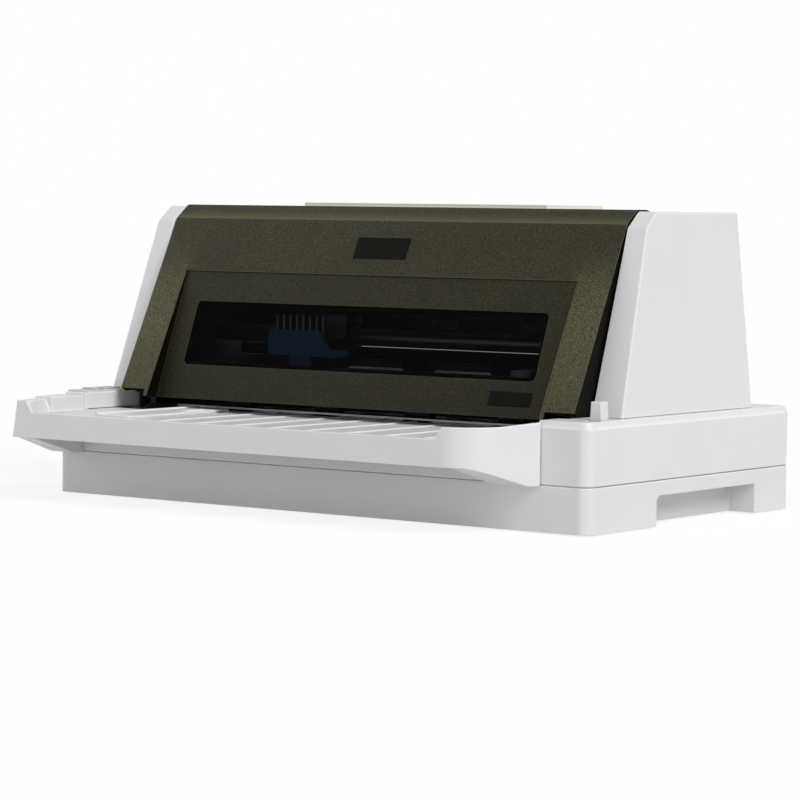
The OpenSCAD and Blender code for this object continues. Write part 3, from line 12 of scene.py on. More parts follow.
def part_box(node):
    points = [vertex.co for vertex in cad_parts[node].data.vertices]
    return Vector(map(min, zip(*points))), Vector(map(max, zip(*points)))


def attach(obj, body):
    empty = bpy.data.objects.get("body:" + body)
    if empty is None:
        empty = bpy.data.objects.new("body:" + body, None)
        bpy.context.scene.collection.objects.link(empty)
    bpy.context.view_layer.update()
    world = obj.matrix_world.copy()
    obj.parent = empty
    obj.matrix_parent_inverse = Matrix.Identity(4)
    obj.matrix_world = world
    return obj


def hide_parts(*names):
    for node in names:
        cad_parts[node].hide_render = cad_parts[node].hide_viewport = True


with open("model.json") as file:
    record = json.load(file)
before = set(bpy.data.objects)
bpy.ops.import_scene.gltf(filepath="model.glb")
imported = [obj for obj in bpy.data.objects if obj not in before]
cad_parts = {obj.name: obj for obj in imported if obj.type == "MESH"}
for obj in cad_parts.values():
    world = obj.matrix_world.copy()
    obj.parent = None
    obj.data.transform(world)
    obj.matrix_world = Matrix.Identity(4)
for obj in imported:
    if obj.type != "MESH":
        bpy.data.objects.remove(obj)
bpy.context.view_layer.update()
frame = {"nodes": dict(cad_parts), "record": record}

bl_info = {
    "name": "Flatbed Dot Matrix Printer",
    "version": (1, 0, 0),
    "blender": (4, 5, 0),
    "location": "3D View > Sidebar > Printer",
    "description": "Finishes, detail pieces, stage and camera for a flatbed dot matrix printer",
    "category": "Object",
}

NODES = frame["nodes"]
RECORD = frame["record"]
BODY_OF = {node: body for body, nodes in RECORD["behaviour"]["bodies"].items() for node in nodes}

# The photograph's camera: focal length and frame in pixels, its axes and where it stands
FOCAL_PIXELS = 3111.83
FRAME_PIXELS = 800
SENSOR_MM = 36
CAMERA_RIGHT = (0.80511657, 0.59298661, 0.01241724)
CAMERA_UP = (-0.0463225, 0.04199431, 0.99804344)
CAMERA_BACK = (0.59130494, -0.80411651, 0.06127894)
CAMERA_PLACE = (1.0535547, -1.4278178, 0.1685537)


# Sizes and colours that a user would change

def linear(text):
    """Linear colour of an sRGB hex value such as #C8C8C8."""
    parts = [int(text[i:i + 2], 16) / 255 for i in (1, 3, 5)]
    return tuple(p / 12.92 if p <= 0.04045 else ((p + 0.055) / 1.055) ** 2.4 for p in parts)


def colour(label, about, text):
    return bpy.props.FloatVectorProperty(name=label, description=about, default=linear(text),
                                         size=3, min=0, max=1, subtype="COLOR")


def length(label, about, default, top=0.005):
    return bpy.props.FloatProperty(name=label, description=about, default=default, min=0, max=top,
                                   precision=5, unit="LENGTH")


def amount(label, about, default, top=10, subtype="NONE"):
    return bpy.props.FloatProperty(name=label, description=about, default=default, min=0, max=top,
                                   subtype=subtype)


class PrinterPlastic(bpy.types.PropertyGroup):
    """Colours of the moulded plastic."""
    light: colour("Upper case", "Off-white of the upper case, housings and table", "#E3E3E3")
    dark: colour("Lower case", "Slightly greyer plastic of the lower case", "#E1E1E1")
    lid: colour("Top lid", "Beige grey of the top lid", "#E8E5D4")
    panel: colour("Control panel", "Satin grey of the control panel", "#D4D5D6")
    button: colour("Buttons", "Light grey of the push buttons", "#C2C4C6")
    lens: colour("Lenses", "Pale green of the indicator lenses", "#A3B89C")
    black: colour("Black plastic", "Black of the carriage and the ribbon cartridge", "#1E1E20")
    blue: colour("Guard", "Blue of the ribbon guard", "#5AA6F5")
    gear: colour("Gears", "Natural white of the gears", "#E2DCC8")


class PrinterCover(bpy.types.PropertyGroup):
    """Finish of the hinged front cover and its window."""
    skin: colour("Cover", "Dark bronze of the front cover", "#27261B")
    fleck: colour("Fleck", "Lighter metallic fleck in the cover", "#58563F")
    panel: colour("Recessed panel", "Darker bronze of the recessed panel", "#232216")
    side: colour("Cover sides", "Bare dark plastic on the cover's sides and back", "#0B0A06")
    # glow sets the painted sheen that lightens the side strips
    glow: amount("Strip tone", "How much lighter the side strips are than the middle", 1.25, 3)
    fleck_size: length("Fleck size", "Distance between neighbouring flecks", 0.0009, 0.01)
    window: colour("Window", "Smoked tint of the window", "#070708")
    window_shade: amount("Window shade", "Share of the light that each face of the window stops",
                         0.57, 1, "FACTOR")
    plate: colour("Plates", "Near black of the two bare plates", "#0D0C07")


class PrinterMetal(bpy.types.PropertyGroup):
    """Colours of the metal, the rubber and the boards."""
    steel: colour("Steel", "Ground steel of the shafts", "#C3C6C8")
    sheet: colour("Sheet", "Zinc-plated sheet of the cross plate and paper guide", "#A6AAAD")
    coated: colour("Painted sheet", "Dark paint of the side frames and rear rail", "#4A4D50")
    brass: colour("Brass", "Brass of the pinion and drive pulley", "#C9A552")
    can: colour("Motor can", "Black paint of the motor cans", "#33353A")
    cast: colour("Cast fins", "Cast aluminium of the head's fins", "#B3C0C9")
    rubber: colour("Rubber", "Black rubber of the platen and rollers", "#29292B")
    board: colour("Board", "Green of the main board", "#2E6B3C")
    supply: colour("Supply board", "Tan of the power board", "#9B8B50")


class PrinterEdges(bpy.types.PropertyGroup):
    """Radii of the rounded edges."""
    case: length("Case edges", "Radius of the edges of the case", 0.0007)
    housing: length("Housing edges", "Radius of the edges of the side housings", 0.0013)
    table: length("Table edges", "Radius of the edges of the paper table", 0.0004)
    cover: length("Cover edges", "Radius of the edges of the front cover", 0.0005)
    small: length("Small edges", "Radius of the edges of buttons and inner plastic", 0.0003)


class PrinterDetail(bpy.types.PropertyGroup):
    """Counts and sizes of the pieces that repeat."""
    fin_count: bpy.props.IntProperty(name="Fins", description="Number of cooling fins",
                                     default=8, min=2, max=12)
    fin_pitch: length("Fin pitch", "Distance between the cooling fins", 0.0048, 0.02)
    fin_thick: length("Fin thickness", "Thickness of a cooling fin", 0.0014, 0.01)
    groove_pitch: length("Roller groove", "Distance between a roller's grooves", 0.001, 0.01)
    groove_depth: length("Groove depth", "Depth of a roller's grooves", 0.00015, 0.001)
    tooth_pitch: length("Belt tooth", "Distance between the belt's teeth", 0.00203, 0.01)
    tooth_depth: length("Tooth depth", "Depth of the belt's teeth", 0.0005, 0.002)
    slot_width: length("Screw cross", "Width of the cross in a screw head", 0.0008, 0.003)


class PrinterStage(bpy.types.PropertyGroup):
    """Floor, light and camera."""
    floor: colour("Floor", "Plain pale floor", "#F6F6F6")
    key: amount("Key light", "Strength of the soft key light", 2.0)
    front: amount("Front light", "Strength of the low light from the front", 0.66)
    side: amount("Left light", "Strength of the light from the left", 0.52)
    fill: amount("Fill light", "Strength of the light from all round", 0.28, 4)
    lens: bpy.props.FloatProperty(name="Lens", description="Focal length of the camera, in mm",
                                  default=SENSOR_MM * FOCAL_PIXELS / FRAME_PIXELS, min=20, max=400)


GROUPS = {"printer_plastic": PrinterPlastic, "printer_cover": PrinterCover,
          "printer_metal": PrinterMetal, "printer_edges": PrinterEdges,
          "printer_detail": PrinterDetail, "printer_stage": PrinterStage}


# Nodes

# Short words that add knows: Blender's name for the node, and the settings it takes
WORDS = {word: ("ShaderNodeMath", {"operation": operation}) for word, operation in (
    ("plus", "ADD"), ("minus", "SUBTRACT"), ("times", "MULTIPLY"), ("over", "DIVIDE"),
    ("times_plus", "MULTIPLY_ADD"), ("size_of", "ABSOLUTE"), ("cosine", "COSINE"),
    ("larger", "MAXIMUM"))}
WORDS.update({
    "range": ("ShaderNodeMapRange", {}),
    "soft_range": ("ShaderNodeMapRange", {"interpolation_type": "SMOOTHSTEP"}),
    "mix": ("ShaderNodeMix", {"data_type": "RGBA"}),
    "mix_shader": ("ShaderNodeMixShader", {}),
    "point": ("ShaderNodeCombineXYZ", {}),
    "split": ("ShaderNodeSeparateXYZ", {}),
    "move": ("GeometryNodeTransform", {}),
    "join": ("GeometryNodeJoinGeometry", {}),
    "rectangle": ("GeometryNodeCurvePrimitiveQuadrilateral", {}),
    "fillet": ("GeometryNodeFilletCurve", {"mode": "POLY"}),
    "sweep": ("GeometryNodeCurveToMesh", {}),
    "cube": ("GeometryNodeMeshCube", {}),
    "cylinder": ("GeometryNodeMeshCylinder", {}),
    "line": ("GeometryNodeMeshLine", {}),
    "copies": ("GeometryNodeInstanceOnPoints", {}),
})


def add(tree, kind, *values, settings=None, out=None, **named):
    """Adds a node with its settings and links, and gives its output out, or else the first one.
    Values fill its inputs in order or by name: a link, a list of links, a plain value or None."""
    blender_name, preset = WORDS.get(kind, (kind, {}))
    made = tree.nodes.new(blender_name)
    for key, value in {**preset, **(settings or {})}.items():
        setattr(made, key, value)
    given = list(zip([socket for socket in made.inputs if socket.enabled], values))
    given += [(made.inputs[key.replace("_", " ")], value) for key, value in named.items()]
    for socket, value in given:
        for item in value if isinstance(value, list) else [value]:
            if isinstance(item, bpy.types.NodeSocket):
                tree.links.new(item, socket)
            elif item is not None:
                socket.default_value = item
    if out:
        return made.outputs[out]
    return next((socket for socket in made.outputs if socket.enabled), None)


# Materials

MIDDLE = (0.3, 0.7)  # Most of a noise lies between these two values


def rgba(value):
    return (*value, 1.0)


def shade(value, factor):
    return tuple(min(1.0, channel * factor) for channel in value)


def begin(name):
    """The tree of a new empty material, and object coordinates in millimetres."""
    material = bpy.data.materials.new(name)
    material.use_nodes = True
    tree = material.node_tree
    tree.nodes.clear()
    place = add(tree, "ShaderNodeTexCoord", out="Object")
    return tree, add(tree, "ShaderNodeMapping", place, Scale=(1000, 1000, 1000))


def end(tree, height, depth, under=None, **sockets):
    """Ends a material in its shader, with a bump whose full height is depth mm."""
    bump = add(tree, "ShaderNodeBump", Height=height, Distance=depth / 1000, Normal=under)
    shader = add(tree, "ShaderNodeBsdfPrincipled", Normal=bump, **sockets)
    add(tree, "ShaderNodeOutputMaterial", shader)


def grain(tree, space, size, stretch=(1, 1, 1), detail=2.0, rough=0.5):
    """Noise whose features are about size mm across, drawn out by stretch."""
    where = add(tree, "ShaderNodeMapping", space, Scale=tuple(1 / (size * s) for s in stretch))
    return add(tree, "ShaderNodeTexNoise", where, Scale=1.0, Detail=detail, Roughness=rough)


def toned(tree, pattern, first, second, most=1.0, between=MIDDLE):
    """Turns the first tone into the second, by up to the share most, as the pattern rises."""
    share = add(tree, "range", pattern, *between, 0.0, most)
    first = first if isinstance(first, bpy.types.NodeSocket) else rgba(first)
    return add(tree, "mix", share, first, rgba(second))


def rounded_edge_with_painted_highlight(tree, edge, flat_tone, highlight_tone):
    """The rounded normal within edge mm of a corner, and the tone with a painted highlight of
    highlight_tone at the corner.
    """
    rounded = add(tree, "ShaderNodeBevel", edge / 1000, settings={"samples": 8})
    flat = add(tree, "ShaderNodeNewGeometry", out="True Normal")
    along = add(tree, "ShaderNodeVectorMath", rounded, flat, settings={"operation": "DOT_PRODUCT"})
    # Painted highlight: full where the rounded normal turns furthest from the face, none where the
    # two agree
    full_highlight, no_highlight = 0.9, 0.995
    corner = add(tree, "range", along, full_highlight, no_highlight, 1.0, 0.0)
    return rounded, add(tree, "mix", corner, flat_tone, rgba(highlight_tone))


def moulded(name, base, gloss=0.46, texture=0.35, depth=0.012, contrast=0.97, level=0.5, edge=0.0):
    """Spark-textured moulded plastic with faint flow clouds and finger-dulled patches;
    edge is the radius in mm to which its corners are rounded in shading and lit by a painted
    highlight."""
    tree, space = begin(name)
    clouds = grain(tree, space, 46, detail=3.0)
    fine = grain(tree, space, texture, detail=3.0)
    touched = grain(tree, space, 17, detail=2.0)
    tone = toned(tree, clouds, base, shade(base, contrast))
    tone = toned(tree, fine, tone, shade(base, contrast - 0.03), most=0.5)
    rounded = None
    if edge:
        # Painted highlight along the edges
        rounded, tone = rounded_edge_with_painted_highlight(tree, edge, tone, shade(base, 1.28))
    end(tree, fine, depth, rounded, Base_Color=tone, Specular_IOR_Level=level,
        Roughness=add(tree, "range", touched, *MIDDLE, gloss - 0.05, gloss + 0.05))


def flecked(name, base, fleck, size, strips=0.0, low=1.0, rim=1.6):
    """Dark bronze lacquer over metallic flecks; strips is how much lighter a painted sheen makes
    the side strips, low is the painted shade at the piece's foot against its top, rim the tone of
    the painted highlight on edges."""
    # In mm: how far out the painted sheen on the side strips begins, and the heights at which the
    # painted sheen and shade turn
    strip_start, strip_full = 128.0, 144.0
    foot, settled, bend, even, top = 60.0, 100.0, 108.0, 130.0, 155.0
    tree, space = begin(name)
    size_mm = size * 1000
    coarse = grain(tree, space, size_mm, detail=3.0, rough=0.75)
    fine = grain(tree, space, size_mm * 0.45, detail=1.0)
    broad = grain(tree, space, 60, detail=2.0)
    tone = toned(tree, coarse, shade(base, 0.35), shade(base, 1.7), between=(0.38, 0.64))
    tone = toned(tree, fine, tone, fleck, between=(0.5, 0.66))
    tone = toned(tree, broad, tone, shade(base, 0.85), most=0.35)
    place = add(tree, "split", space).node.outputs
    across, height = add(tree, "size_of", place["X"]), place["Z"]
    # Painted sheen: the side strips lighter below the bend, less so towards the foot
    out = add(tree, "soft_range", across, strip_start, strip_full, 0.0, strips)
    rise = add(tree, "soft_range", height, top, bend, 0.0, 1.0)
    fall = add(tree, "range", height, foot, settled, 0.55, 1.0)
    lift = add(tree, "times_plus", add(tree, "times", out, rise), fall, 1.0)
    # Painted shade: the whole tone darker towards the foot, down to low there
    lift = add(tree, "times", lift, add(tree, "range", height, foot, even, low, 1.0))
    tone = add(tree, "ShaderNodeVectorMath", tone, settings={"operation": "SCALE"}, Scale=lift)
    # Painted highlight on the edges, in a tone of the fleck
    rounded, tone = rounded_edge_with_painted_highlight(tree, 0.5, tone, shade(fleck, rim))
    end(tree, coarse, 0.03, rounded, Base_Color=tone, Metallic=0.25, Specular_IOR_Level=0.12,
        Roughness=add(tree, "range", fine, *MIDDLE, 0.38, 0.55))


def smoked_sheet(name, base, share):
    """Smoked clear sheet; share of the light is stopped at each face."""
    tree, space = begin(name)
    haze = grain(tree, space, 30, detail=2.0)
    end(tree, grain(tree, space, 90, detail=1.0), 0.05, Alpha=share, Specular_IOR_Level=0.02,
        Base_Color=toned(tree, haze, base, shade(base, 1.3)),
        Roughness=add(tree, "range", haze, *MIDDLE, 0.03, 0.07))


def metal(name, base, rough=0.3, size=0.5, stretch=(1, 1, 1), depth=0.004, contrast=0.86):
    """Bare metal whose marks are size mm across, drawn out by stretch."""
    tree, space = begin(name)
    marks = grain(tree, space, size, stretch, detail=3.0, rough=0.6)
    stain = grain(tree, space, 24, detail=3.0)
    tone = toned(tree, marks, base, shade(base, contrast), most=0.6)
    end(tree, marks, depth, Metallic=1.0,
        Base_Color=toned(tree, stain, tone, shade(base, contrast * 0.95), most=0.4),
        Roughness=add(tree, "range", marks, *MIDDLE, rough - 0.08, rough + 0.08))


def sheet_metal(name, base, metallic):
    """Zinc-plated sheet with its faint spangle, or the same sheet under dark paint."""
    tree, space = begin(name)
    cells = add(tree, "ShaderNodeTexVoronoi", out="Color", Vector=space, Scale=1 / 6.0)
    spangle = add(tree, "ShaderNodeSeparateColor", cells)
    scuff = grain(tree, space, 1.4, (6, 1, 1), detail=3.0)
    tone = add(tree, "mix", spangle, rgba(base), rgba(shade(base, 0.88)))
    end(tree, scuff, 0.006, Metallic=metallic,
        Base_Color=toned(tree, scuff, tone, shade(base, 0.78), most=0.3),
        Roughness=add(tree, "range", scuff, *MIDDLE, 0.3, 0.46))


def rubber(name, base, size=0.3):
    """Ground rubber with a fine matt tooth and paper dust."""
    tree, space = begin(name)
    tooth = grain(tree, space, size, detail=3.0, rough=0.7)
    dust = grain(tree, space, 9, detail=3.0)
    end(tree, tooth, 0.03, Specular_IOR_Level=0.35,
        Base_Color=toned(tree, dust, base, shade(base, 2.2), most=0.5, between=(0.5, 0.85)),
        Roughness=add(tree, "range", tooth, *MIDDLE, 0.62, 0.82))


def inked_cloth(name):
    """Woven nylon ribbon soaked in black ink."""
    tree, space = begin(name)
    waves = [add(tree, "ShaderNodeTexWave", space, 1.6, 0.4, out="Fac",
                 settings={"wave_type": "BANDS", "bands_direction": axis}) for axis in ("X", "Y")]
    weave = add(tree, "times", *waves)
    end(tree, weave, 0.03, Sheen_Weight=0.2,
        Base_Color=add(tree, "mix", weave, rgba(linear("#0E0E12")), rgba(linear("#23232B"))),
        Roughness=add(tree, "range", weave, 0.0, 1.0, 0.5, 0.8))


def circuit_board(name, base, track):
    """Solder mask over copper tracks that run in straight lines."""
    tree, space = begin(name)
    bricks = [add(tree, "ShaderNodeTexBrick", out="Fac", settings={"offset": 0.5, "squash": 1.0},
                  Vector=space, Scale=scale, Mortar_Size=0.035) for scale in (0.11, 0.05)]
    lines = add(tree, "larger", *bricks)
    end(tree, lines, 0.02, Base_Color=add(tree, "mix", lines, rgba(base), rgba(track)),
        Roughness=add(tree, "range", grain(tree, space, 5), *MIDDLE, 0.25, 0.4), Coat_Weight=0.3)


def clear_lens(name, base):
    """Small coloured lens with a bright core."""
    tree, space = begin(name)
    core = grain(tree, space, 1.2, detail=1.0)
    end(tree, core, 0.01, Base_Color=toned(tree, core, base, shade(base, 1.35)),
        Roughness=add(tree, "range", core, *MIDDLE, 0.12, 0.22), Coat_Weight=0.5)


def finish(key):
    """The named finish, made once from the user's colours."""
    scene = bpy.context.scene
    plastic, cover, tone = scene.printer_plastic, scene.printer_cover, scene.printer_metal
    light, dark, lid, panel = plastic.light, plastic.dark, plastic.lid, plastic.panel
    turned = (0.25, 1, 1)
    makers = {
        # Moulded ABS: a soft even sheen over a fine tooth, with a painted highlight along its edges
        "moulded_abs_upper_case": lambda n: moulded(n, light, gloss=0.4, edge=1.2),
        "moulded_abs_housing": lambda n: moulded(n, light, gloss=0.4, edge=0.5),
        "moulded_abs_lower_case": lambda n: moulded(n, dark, gloss=0.44, edge=1.2),
        # Duller, yellowed by light
        "moulded_abs_lid": lambda n: moulded(n, lid, gloss=0.55, level=0.35),
        # Satin, with a tooth that the light picks out
        "moulded_abs_panel": lambda n: moulded(n, panel, gloss=0.5, depth=0.02),
        # Smoothed by fingers
        "moulded_abs_button": lambda n: moulded(n, plastic.button, gloss=0.42, depth=0.008),
        # Black with grey clouds
        "moulded_abs_black": lambda n: moulded(n, plastic.black, gloss=0.5, contrast=0.85,
                                               level=0.4),
        # Acetal: denser and shinier, with a waxy look
        "moulded_acetal_guard": lambda n: moulded(n, plastic.blue, gloss=0.34, contrast=0.9),
        "moulded_acetal_gear": lambda n: moulded(n, plastic.gear, gloss=0.38, depth=0.006),
        # Lacquered ABS: dark bronze that sparkles in small flecks, with a painted highlight on its
        # edges
        # The cover: a painted sheen lightens its side strips
        "lacquered_abs_cover": lambda n: flecked(n, cover.skin, cover.fleck, cover.fleck_size,
                                                 cover.glow),
        # The recess: painted shade darkens it towards its foot
        "lacquered_abs_recess": lambda n: flecked(n, cover.panel, shade(cover.fleck, 0.7),
                                                  cover.fleck_size, low=0.72, rim=0.9),
        # Bare ABS beside the lacquer: nearly black, without a shine
        "moulded_abs_cover_side": lambda n: moulded(n, cover.side, gloss=0.5, contrast=0.85,
                                                    level=0.06),
        # Smoked acrylic: what lies behind shows dimly
        "smoked_acrylic_window": lambda n: smoked_sheet(n, cover.window, cover.window_shade),
        # Lacquered aluminium: smooth near black with a slow ripple
        "lacquered_aluminium_plate": lambda n: moulded(n, cover.plate, gloss=0.3, texture=0.9,
                                                       depth=0.004, contrast=0.9, level=0.06),
        # Ground steel: soft streaks of light round the shaft
        "ground_steel": lambda n: metal(n, tone.steel, 0.36, 0.25, turned),
        # Plated steel: dull, with small marks from the driver
        "plated_steel_screw": lambda n: metal(n, tone.steel, 0.32, 0.6),
        # Blackened steel: dark, with a grey sheen
        "blackened_steel": lambda n: metal(n, linear("#26272A"), 0.4, 0.25, turned),
        # Zinc-plated steel: pale flakes and rolling scuffs
        "zinc_plated_steel": lambda n: sheet_metal(n, tone.sheet, 0.9),
        # Painted steel: the same scuffs, dark and only a little metallic
        "painted_steel": lambda n: sheet_metal(n, tone.coated, 0.2),
        # Turned brass: warm, with fine rings
        "turned_brass": lambda n: metal(n, tone.brass, 0.28, 0.3, turned),
        # Painted steel can: smooth dark paint with a slight orange peel
        "painted_steel_can": lambda n: moulded(n, tone.can, gloss=0.36, texture=0.6, contrast=0.85),
        # Cast aluminium and cast zinc: grainy skin, bright or dark
        "cast_aluminium": lambda n: metal(n, tone.cast, 0.42, 0.35, depth=0.02, contrast=0.9),
        "cast_zinc": lambda n: metal(n, linear("#55585E"), 0.45, 0.4, depth=0.02, contrast=0.85),
        # Ground or moulded rubber: matt black with pale dust
        "ground_rubber": lambda n: rubber(n, tone.rubber),
        "moulded_rubber_foot": lambda n: rubber(n, shade(tone.rubber, 1.2), 0.5),
        "moulded_rubber_belt": lambda n: rubber(n, shade(tone.rubber, 0.9), 0.4),
        # Woven nylon: a close weave with a dull sheen of ink
        "woven_nylon_ribbon": inked_cloth,
        # Glass-epoxy and paper boards: glossy mask, tracks a shade lighter
        "masked_epoxy_board": lambda n: circuit_board(n, tone.board, linear("#4C8A55")),
        "masked_paper_board": lambda n: circuit_board(n, tone.supply, linear("#B7A66B")),
        # Moulded nylon: smooth dark grey sockets
        "moulded_nylon_socket": lambda n: moulded(n, linear("#1A1A1B"), gloss=0.4, contrast=0.85),
        # Moulded acrylic: a clear gloss with a lighter core
        "moulded_acrylic_lens": lambda n: clear_lens(n, plastic.lens),
    }
    if key not in bpy.data.materials:
        makers[key](key)
    return bpy.data.materials[key]


# Ways of making a piece

JOIN_WITHIN = 2e-6                # Points of a CAD mesh that are nearer than this are one
FLAT_WITHIN = math.radians(0.3)   # Faces that turn less than this are one flat face
CORNER = math.radians(28)         # Edges that turn more than this are rounded
SOFT_CAD, SOFT_GROWN = math.radians(32), math.radians(35)  # Edges up to these look smooth


def dress(key, *nodes):
    """Gives CAD nodes that stay their finish."""
    for node in nodes:
        piece = NODES[node]
        if not piece.material_slots:
            piece.data.materials.append(None)
        for place in piece.material_slots:
            place.material = finish(key)


def settle(piece, node, key):
    """Puts a new piece on the body of the node that it stands for."""
    if not piece.data.materials:
        piece.data.materials.append(finish(key))
    bpy.context.scene.collection.objects.link(piece)
    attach(piece, BODY_OF[node])
    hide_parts(node)
    return piece


def merged(node):
    """The node's mesh with its points joined and its flat faces whole."""
    shape = bmesh.new()
    shape.from_mesh(NODES[node].data)
    bmesh.ops.remove_doubles(shape, verts=shape.verts, dist=JOIN_WITHIN)
    bmesh.ops.dissolve_limit(shape, angle_limit=FLAT_WITHIN, verts=shape.verts,
                             edges=shape.edges, delimit={"NORMAL"})
    return shape


def plain_object(name, shape, limit=SOFT_CAD):
    """An object of the bmesh, smooth where its faces meet at less than the limit."""
    for face in shape.faces:
        face.smooth = True
    for edge in shape.edges:
        edge.smooth = len(edge.link_faces) == 2 and edge.calc_face_angle(0) < limit
    data = bpy.data.meshes.new(name)
    shape.to_mesh(data)
    shape.free()
    return bpy.data.objects.new(name, data)


def softened(name, node, key, radius, least=0.0012, bars=()):
    """A copy of the node, with any bars added, whose outer edges from least metres are rounded."""
    shape = merged(node)
    for low, high in bars:
        place = Matrix.Translation((low + high) / 2) @ Matrix.Diagonal((*(high - low), 1))
        bmesh.ops.create_cube(shape, size=1, matrix=place)
    edges = [edge for edge in shape.edges if len(edge.link_faces) == 2 and edge.is_convex
             and edge.calc_face_angle(0) > CORNER and edge.calc_length() >= least]
    bmesh.ops.bevel(shape, geom=edges, offset=radius, offset_type="OFFSET", segments=2,
                    profile=0.5, affect="EDGES", clamp_overlap=True)
    piece = plain_object(name, shape)
    smooth = piece.modifiers.new("even_shading", "WEIGHTED_NORMAL")
    smooth.keep_sharp = True
    smooth.weight = 60
    return settle(piece, node, key)


def tree_of(name, **inputs):
    """A geometry tree and its input values; inputs gives the names for each kind of socket."""
    tree = bpy.data.node_groups.new(name, "GeometryNodeTree")
    tree.interface.new_socket("Geometry", in_out="OUTPUT", socket_type="NodeSocketGeometry")
    for kind, labels in {**inputs, "Material": "Finish"}.items():
        for label in labels.split():
            tree.interface.new_socket(label, in_out="INPUT", socket_type="NodeSocket" + kind)
    return tree, add(tree, "NodeGroupInput").node.outputs


def close_tree(tree, source, *parts):
    """Ends a tree with its parts, moved to Place, as real geometry that carries its material."""
    placed = add(tree, "move", add(tree, "join", list(parts)), source["Place"])
    real = add(tree, "GeometryNodeRealizeInstances", placed)
    done = add(tree, "GeometryNodeSetMaterial", real, Material=source["Finish"])
    add(tree, "NodeGroupOutput", done)
    return tree


def centred_row(tree, source, piece):
    """Count copies of the piece along X, a Pitch apart, about the origin."""
    span = add(tree, "times", source["Pitch"], add(tree, "minus", source["Count"], 1.0))
    start = add(tree, "point", add(tree, "times", span, -0.5))
    line = add(tree, "line", source["Count"], start, add(tree, "point", source["Pitch"]))
    return add(tree, "copies", line, Instance=piece)


def grown(name, tree, values, node, key):
    """Runs a tree, turns its result into a plain mesh and settles it."""
    empty = bpy.data.objects.new(name + "_source", bpy.data.meshes.new(name + "_source"))
    bpy.context.scene.collection.objects.link(empty)
    run = empty.modifiers.new("build", "NODES")
    run.node_group = tree
    given = dict(values, Finish=finish(key))
    for item in tree.interface.items_tree:
        if item.item_type == "SOCKET" and item.in_out == "INPUT":
            run[item.identifier] = given[item.name]
    bpy.context.view_layer.update()
    graph = bpy.context.evaluated_depsgraph_get()
    data = bpy.data.meshes.new_from_object(empty.evaluated_get(graph), depsgraph=graph)
    empty.modifiers.remove(run)
    bpy.data.objects.remove(empty)
    if not data.polygons:
        raise RuntimeError(name + " came out empty")
    shape = bmesh.new()
    shape.from_mesh(data)
    bpy.data.meshes.remove(data)
    bmesh.ops.remove_doubles(shape, verts=shape.verts, dist=1e-7)
    return settle(plain_object(name, shape, SOFT_GROWN), node, key)


# Trees for what repeats

def fin_tree():
    """Rounded plates on a line, on the block that joins them."""
    tree, source = tree_of("cooling_fins", Vector="Place Block", Int="Count",
                           Float="Pitch Thickness Depth Height Rounding")
    outline = add(tree, "rectangle", source["Depth"], source["Height"])
    soft = add(tree, "fillet", outline, 4, source["Rounding"], True)
    plate = add(tree, "GeometryNodeFillCurve", soft, settings={"mode": "NGONS"})
    solid = add(tree, "GeometryNodeExtrudeMesh", plate, settings={"mode": "FACES"},
                Offset_Scale=source["Thickness"], Individual=False)
    whole = add(tree, "join", [solid, add(tree, "GeometryNodeFlipFaces", plate)])
    back = add(tree, "times", source["Thickness"], -0.5)
    centred = add(tree, "move", whole, add(tree, "point", Z=back))
    upright = add(tree, "move", centred, Rotation=(math.pi / 2, 0, math.pi / 2))
    low = add(tree, "times", source["Height"], -0.5)
    seat = add(tree, "move", add(tree, "cube", source["Block"]), add(tree, "point", Z=low))
    return close_tree(tree, source, centred_row(tree, source, upright), seat)


def roller_tree():
    """Grooved rollers with rounded rims, in a row along X."""
    tree, source = tree_of("grooved_rollers", Vector="Place", Int="Count",
                           Float="Pitch Radius Length Groove Depth Rim")
    half = add(tree, "times", source["Length"], 0.5)
    start = add(tree, "point", add(tree, "times", half, -1.0))
    axis = add(tree, "GeometryNodeCurvePrimitiveLine", start, add(tree, "point", half))
    fine = add(tree, "GeometryNodeResampleCurve", axis, settings={"mode": "LENGTH"},
               Length=add(tree, "times", source["Groove"], 0.25))
    along = add(tree, "split", add(tree, "GeometryNodeInputPosition"))
    turns = add(tree, "over", along, source["Groove"])
    wave = add(tree, "cosine", add(tree, "times", turns, 2 * math.pi))
    dip = add(tree, "range", wave, -1.0, 1.0, 0.0, source["Depth"])
    rim_start = add(tree, "minus", half, source["Rim"])
    rim = add(tree, "soft_range", add(tree, "size_of", along), rim_start, half, 0.0, source["Rim"])
    radius = add(tree, "minus", source["Radius"], add(tree, "plus", dip, rim))
    shaped = add(tree, "GeometryNodeSetCurveRadius", fine, Radius=radius)
    circle = add(tree, "GeometryNodeCurvePrimitiveCircle", Resolution=40, Radius=1.0)
    tube = add(tree, "sweep", shaped, circle, add(tree, "GeometryNodeInputRadius"), True)
    return close_tree(tree, source, centred_row(tree, source, tube))


def belt_tree():
    """A flat belt round two pulleys, with teeth on its inner face."""
    tree, source = tree_of("toothed_belt", Vector="Place",
                           Float="Length Width Turn Thickness Height Pitch Tooth")
    outline = add(tree, "rectangle", source["Length"], source["Width"])
    loop = add(tree, "fillet", outline, 14, source["Turn"], True)
    level = add(tree, "GeometryNodeSetCurveNormal", loop, settings={"mode": "Z_UP"})
    section = add(tree, "rectangle", source["Thickness"], source["Height"])
    band = add(tree, "sweep", level, section, Fill_Caps=False)
    points = add(tree, "GeometryNodeCurveToPoints", level, settings={"mode": "LENGTH"},
                 Length=source["Pitch"])
    size = add(tree, "point", add(tree, "plus", source["Thickness"], source["Tooth"]),
               source["Height"], add(tree, "times", source["Pitch"], 0.45))
    inward = add(tree, "point", add(tree, "times", source["Tooth"], 0.5))
    tooth = add(tree, "move", add(tree, "cube", size), inward)
    teeth = add(tree, "copies", points, Instance=tooth, Rotation=points.node.outputs["Rotation"])
    return close_tree(tree, source, band, teeth)


